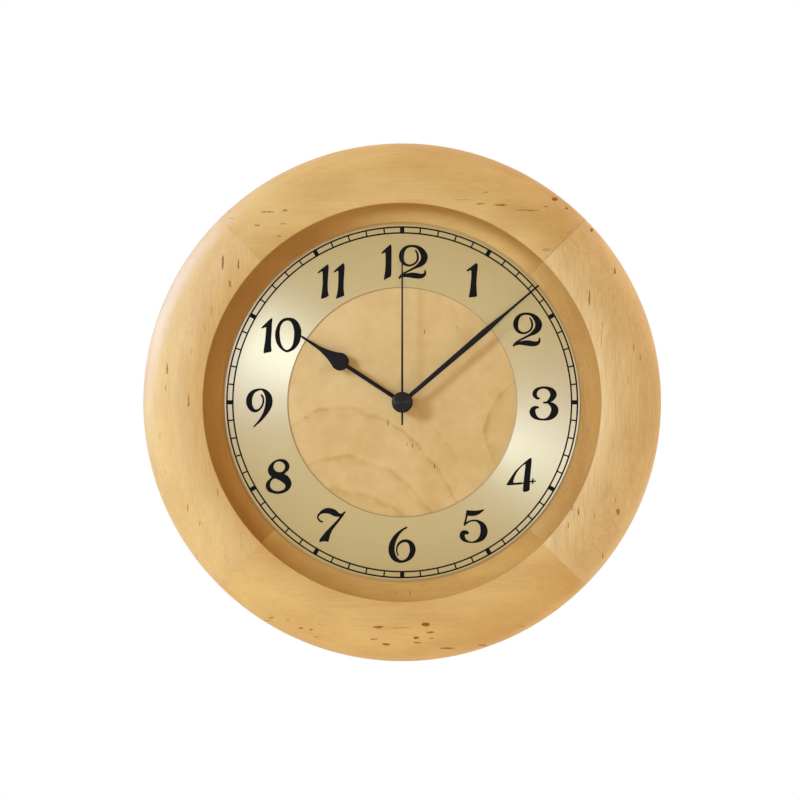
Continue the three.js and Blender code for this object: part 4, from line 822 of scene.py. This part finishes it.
laminated, shader, place = finish("lamination_steel", Metallic=1.0, Roughness=0.4)
rolled = place.vector("MULTIPLY", (0.2, 1, 1)).noise(2.0, 3, 0.6)
feed(shader, Base_Color=rolled.blend(colour(150, 150, 152), colour(178, 178, 178)),
     Roughness=rolled * 0.25 + 0.28)
coat(laminated, "stator", "coil_core", "seconds_shaft", "quartz_crystal")
copper, shader, place = finish("enamelled_copper", Metallic=1.0, Roughness=0.3)
turns = place.node("ShaderNodeTexWave", {"bands_direction": "X"},
                   {"Vector": place, "Scale": 1.6, "Distortion": 0.6, "Detail": 1.0}, 1)
feed(shader, Base_Color=turns.blend(colour(150, 74, 40), colour(196, 110, 62)),
     Normal=turns.bump(0.06, 0.6))
coat(copper, "coil_winding")
sintered, shader, place = finish("sintered_magnet", Metallic=0.8, Roughness=0.5)
grit = place.noise(9.0, 2, 0.6)
feed(shader, Base_Color=grit.blend(colour(60, 60, 64), colour(84, 84, 88)),
     Normal=grit.bump(0.02, 0.5))
coat(sintered, "rotor_magnet")


# Circuit: a small green board whose copper tracks show through the mask, and the driver chip in its
# black moulding.

masked, shader, place = finish("solder_mask", Roughness=0.35)
tracks = place.node("ShaderNodeTexBrick", {"offset": 0.5},
                    {"Vector": place.vector("MULTIPLY", (1, 0, 0)).vector("ADD", place),
                     "Scale": 0.3, "Mortar Size": 0.08, "Mortar Smooth": 0.2}, 1)
feed(shader, Base_Color=tracks.blend(colour(30, 92, 52), colour(52, 124, 70)),
     Normal=tracks.bump(0.03, 0.5))
coat(masked, "circuit_board")
coat(moulded, "driver_chip")


# Battery: one AA cell in a bare grey sleeve with a pale collar at one end, between a plain contact
# and a bowed leaf.

COLLAR = (22.6, 22.9)
sleeve, shader, place = finish("cell_sleeve", Metallic=0.7, Roughness=0.36)
collar = place.axes()[0].step(*COLLAR)
wear = place.noise(0.4, 4, 0.6)
feed(shader, Base_Color=collar.blend(wear.blend(colour(122, 126, 132), colour(140, 144, 150)),
                                     colour(192, 190, 184)), Roughness=wear * 0.2 + 0.26)
softened("battery_cell", sleeve, 0.4, segments=3)
softened("battery_contact_plus", zinc, 0.08)
softened("battery_contact_minus", zinc, 0.08)


# Bush, nut and washers: turned brass clamps the movement to the board, over a rubber washer behind.
# The minute arbor is of the same brass.

brass, shader, place = finish("turned_brass", Metallic=1.0, Roughness=0.3)
lathe_marks = place.vector("MULTIPLY", (0.3, 1, 0.3)).noise(8.0, 2, 0.6)
feed(shader, Base_Color=lathe_marks.blend(colour(186, 152, 88), colour(206, 174, 108)),
     Roughness=lathe_marks * 0.16 + 0.22)
softened("threaded_bush", brass, 0.12)
softened("fixing_washer", brass, 0.08)
softened("fixing_nut", brass, 0.25)
coat(brass, "minute_arbor")
rubber, shader, place = finish("black_rubber", Roughness=0.8)
bloom = place.noise(1.2, 3, 0.6)
feed(shader, Base_Color=bloom.blend(colour(26, 26, 27), colour(38, 38, 38)),
     Normal=bloom.bump(0.04, 0.5))
coat(rubber, "rubber_washer")


# Hands: stamped sheet metal in satin black. The hour hand swells into a drop, the minute hand
# tapers to a fine tip over the track, and both sit on pressed collets.

satin, shader, place = finish("satin_black", Roughness=0.45, Specular_IOR_Level=0.1,
                              Specular_Tint=(1, 0.8, 0.62, 1))
paint = place.noise(2.2, 3, 0.55)
feed(shader, Base_Color=paint.blend(colour(18, 16, 15), colour(26, 24, 22)),
     Roughness=paint * 0.14 + 0.34, Normal=paint.bump(0.01, 0.3))

HOUR_ANGLE = 303.2
MINUTE_ANGLE = 49.4
ROD_HALF = 1.22
DROP_RADIUS = 5.22
DROP_CENTRE = 42.9
DROP_SHOULDER = math.radians(125)
NEEDLE_START = 61
NEEDLE_HALF = 0.96
HOUR_TIP = (70, 0.6)
HOUR_BOSS = 5.5
HOUR_BACK = 29.6
# Along a hand each station is its distance from the axis and the blade's half width there.
MINUTE_STATIONS = [(0, 1.22), (20, 1.37), (36, 1.51), (52, 1.65), (58, 1.72), (62, 1.75), (65, 1.64),
                   (68, 1.47), (71, 1.29), (74, 1.12), (79, 0.82), (84.5, 0.68), (103.8, 0.54)]
MINUTE_BOSS = 4.6
MINUTE_BACK = 32.0
HAND_THICK = 0.5
STAMPED_EDGE = 0.12


def hour_stations():
    """The hour hand's rod, the round of its drop, and the concave run to its needle."""
    heel = math.asin(ROD_HALF / DROP_RADIUS)
    stations = [(0, ROD_HALF)]
    for i in range(25):
        angle = heel + (DROP_SHOULDER - heel) * i / 24
        stations.append((DROP_CENTRE - DROP_RADIUS * math.cos(angle), DROP_RADIUS * math.sin(angle)))
    start, start_half = stations[-1]
    for i in range(1, 17):
        share = i / 16
        stations.append((start + (NEEDLE_START - start) * share,
                         NEEDLE_HALF + (start_half - NEEDLE_HALF) * (1 - share) ** 2))
    return stations + [HOUR_TIP]


# A turned shape ends this near to its axis.
MIDDLE = 0.001
EDGE_ABOVE = 60


def hand_blade(stations, boss, back, thick, edge):
    """A flat hand pointing to twelve: its blade and the round boss, with the stamped edge broken."""
    right = [(half, along) for along, half in stations[:-1]]
    tip_along, tip_half = stations[-1]
    tip = arc(0, tip_along - tip_half, tip_half, tip_half, 0, 180, 8)
    bm = plate(right + tip + [(-x, y) for x, y in right][::-1], back, thick)
    front_rim = [e for e in bm.edges if e.calc_face_angle(0) > math.radians(EDGE_ABOVE)
                 and min(v.co.z for v in e.verts) > back + thick / 2]
    bmesh.ops.bevel(bm, geom=front_rim, offset=edge, segments=2, profile=0.5, affect="EDGES",
                    clamp_overlap=True)
    disc = turned([(MIDDLE, back), (boss, back), (boss, back + thick), (MIDDLE, back + thick)], 48)
    spare = drawn("boss", disc, SAME_PLACE)
    bm.from_mesh(spare)
    bpy.data.meshes.remove(spare)
    return bm


for name, stations, angle, boss, back, body in (
        ("hour_hand", hour_stations(), HOUR_ANGLE, HOUR_BOSS, HOUR_BACK, "hour_group"),
        ("minute_hand", MINUTE_STATIONS, MINUTE_ANGLE, MINUTE_BOSS, MINUTE_BACK, "minute_group")):
    bm = hand_blade(stations, boss, back, HAND_THICK, STAMPED_EDGE)
    bm.transform(Matrix.Rotation(-math.radians(angle), 4, "Z"))
    blade = stand(f"{name}_fine", bm, satin, body, crease=25)
    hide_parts(name)
    softened(f"{name}_collet", satin, 0.08, body)


# Second hand and cap: a needle-thin black hand with a plain tail, hidden at its centre by a shallow
# domed cap that turns with it.

SECOND_BACK = 34.4
SECOND_STATIONS = [(-13.2, 0.5), (0, 0.64), (87, 0.41)]
SECOND_BOSS = 1.25
SECOND_THICK = 0.3
bm = hand_blade(SECOND_STATIONS, SECOND_BOSS, SECOND_BACK, SECOND_THICK, STAMPED_EDGE / 2)
needle = stand("second_hand_fine", bm, satin, "seconds_arbor", crease=25)
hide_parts("second_hand")

CAP_RADIUS = 6.1
CAP_BACK = 34.8
CAP_FRONT = 37.0
CAP_SIDE_FRONT = 36.0
CAP_SHOULDER = (0.9, 0.85)
dome = [(MIDDLE, CAP_BACK), (CAP_RADIUS, CAP_BACK)]
dome += arc(CAP_RADIUS - CAP_SHOULDER[0], CAP_SIDE_FRONT, *CAP_SHOULDER, 0, 80, 8)
dome += [(CAP_RADIUS * share, CAP_FRONT - drop)
         for share, drop in ((0.72, 0.09), (0.5, 0.04), (0.25, 0.01))]
dome += [(MIDDLE, CAP_FRONT)]
cap_black, shader, place = finish("cap_black", Roughness=0.3, Anisotropic=0.9, Specular_IOR_Level=0.2,
                                  Anisotropic_Rotation=0.19, Specular_Tint=(1, 0.8, 0.62, 1))
cap_x, cap_y, _ = place.axes()
cap_rings = place.node("ShaderNodeTexNoise", {"noise_dimensions": "1D"},
                       {"W": off_axis(cap_x, cap_y), "Scale": 9.0, "Detail": 2.0})
feed(shader, Base_Color=cap_rings.blend(colour(16, 15, 14), colour(28, 25, 24)),
     Roughness=cap_rings * 0.12 + 0.24)
cap = stand("centre_cap", turned(dome, 96), cap_black, "seconds_arbor", 60, FROM_MM)
cap.matrix_world = UPRIGHT
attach(cap, "seconds_arbor")
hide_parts("second_hand_cap")


# Studio: a plain pale floor under the hanging clock, one large soft lamp from the left and a little
# above, two lamps that only add glints, and a camera square on to the dial.

pale, shader, place = finish("pale_floor", Roughness=0.9, Specular_IOR_Level=0.1)
mottle = place.noise(0.01, 2, 0.5)
feed(shader, Base_Color=mottle.blend(colour(236, 235, 232), colour(242, 241, 238)))
FLOOR_PLACE = Matrix.Translation((0, -1.2, AXIS_HEIGHT - 0.3)) @ Matrix.Diagonal((4, 1.7, 1, 1))
bm = bmesh.new()
bmesh.ops.create_grid(bm, x_segments=2, y_segments=2, size=1)
floor = linked("floor", drawn("floor", bm, FLOOR_PLACE))
floor.data.materials.append(pale)

world = bpy.data.worlds.new("studio")
bpy.context.scene.world = world
world.use_nodes = True
tree = world.node_tree
background = tree.nodes["Background"]
rays = tree.nodes.new("ShaderNodeLightPath")
camera_ray, glossy_ray, clear_ray = (
    Wire(rays.outputs[f"Is {kind} Ray"]) for kind in ("Camera", "Glossy", "Transmission"))
seen = camera_ray.most(glossy_ray).most(clear_ray)
# The front of the room is dim and warm. A pale sweep stands behind it round the clock's edge,
# stronger to the right, upwards and most of all at the upper right. The lamp is cooler, so that
# together they light the dial in plain white.
ROOM_LIT = (0.78, 0.57, 0.27, 1)
ROOM_SHADE = (0.4, 0.205, 0.05, 1)
SWEEP = 1.7
SWEEP_RIGHT = 0.6
SWEEP_UP = 0.35
SWEEP_UPPER_RIGHT = 1.5
BEHIND = 0.75
BEHIND_FROM = (0.4, 0.65)
across, depth, up = Wire(tree.nodes.new("ShaderNodeTexCoord").outputs["Generated"]).axes()
front = depth.step(0.08, -0.08)
room = (up * 0.4 - across * 0.9).step(-0.8, 0.8).blend(ROOM_SHADE, ROOM_LIT)
upper_right = (across * 0.6 + up * 0.8).step(0.5, 1) * SWEEP_UPPER_RIGHT
sweep_strength = across * SWEEP_RIGHT + up * SWEEP_UP + upper_right + SWEEP
sweep = depth.step(-0.02, 0.1) * depth.step(*BEHIND_FROM[::-1]) * sweep_strength
sky = front + sweep + depth.step(*BEHIND_FROM) * BEHIND
white = (1, 1, 1, 1)
tree.links.new(seen.blend(front.blend(white, room), white).socket, background.inputs["Color"])
tree.links.new((seen + (1 - seen) * sky).socket, background.inputs["Strength"])


def lamp(name, direction, distance, size, power, tint):
    """A round soft lamp aimed at the middle of the dial."""
    data = bpy.data.lights.new(name, "AREA")
    data.shape = "DISK"
    data.size = size
    data.energy = power
    data.color = tint
    made = linked(name, data)
    made.location = Vector((0, 0, AXIS_HEIGHT)) + Vector(direction).normalized() * distance
    made.rotation_euler = Vector(direction).to_track_quat("Z", "Y").to_euler()
    return made


lamp("key", (-0.687, -0.669, 0.285), 2.0, size=0.54, power=25.8, tint=(0.58, 0.98, 1.58))
glints = (lamp("glint", (-0.483, -0.866, 0.13), 2.0, size=0.66, power=9.4, tint=(0.84, 1.22, 2.95)),
          lamp("edge_glint", (-0.86, 0.36, 0.36), 1.6, size=1.1, power=36, tint=(0.55, 0.98, 1.9)))
for glint in glints:
    glint.visible_diffuse = False

CAMERA_DISTANCE = 4.0
PICTURE = 800
VIEW_WIDTH = PICTURE * MM_PER_PIXEL / 1000
SENSOR = 36
camera_data = bpy.data.cameras.new("camera")
camera_data.sensor_width = SENSOR
camera_data.lens = SENSOR * (CAMERA_DISTANCE - RING_FRONT / 1000) / VIEW_WIDTH
camera = linked("camera", camera_data)
middle_x, middle_y = on_face((PICTURE - 1) / 2, (PICTURE - 1) / 2)
camera.location = (middle_x / 1000, -CAMERA_DISTANCE, AXIS_HEIGHT + middle_y / 1000)
camera.rotation_euler = (math.pi / 2, 0, 0)
bpy.context.scene.camera = camera
bpy.context.scene.view_settings.view_transform = "Standard"
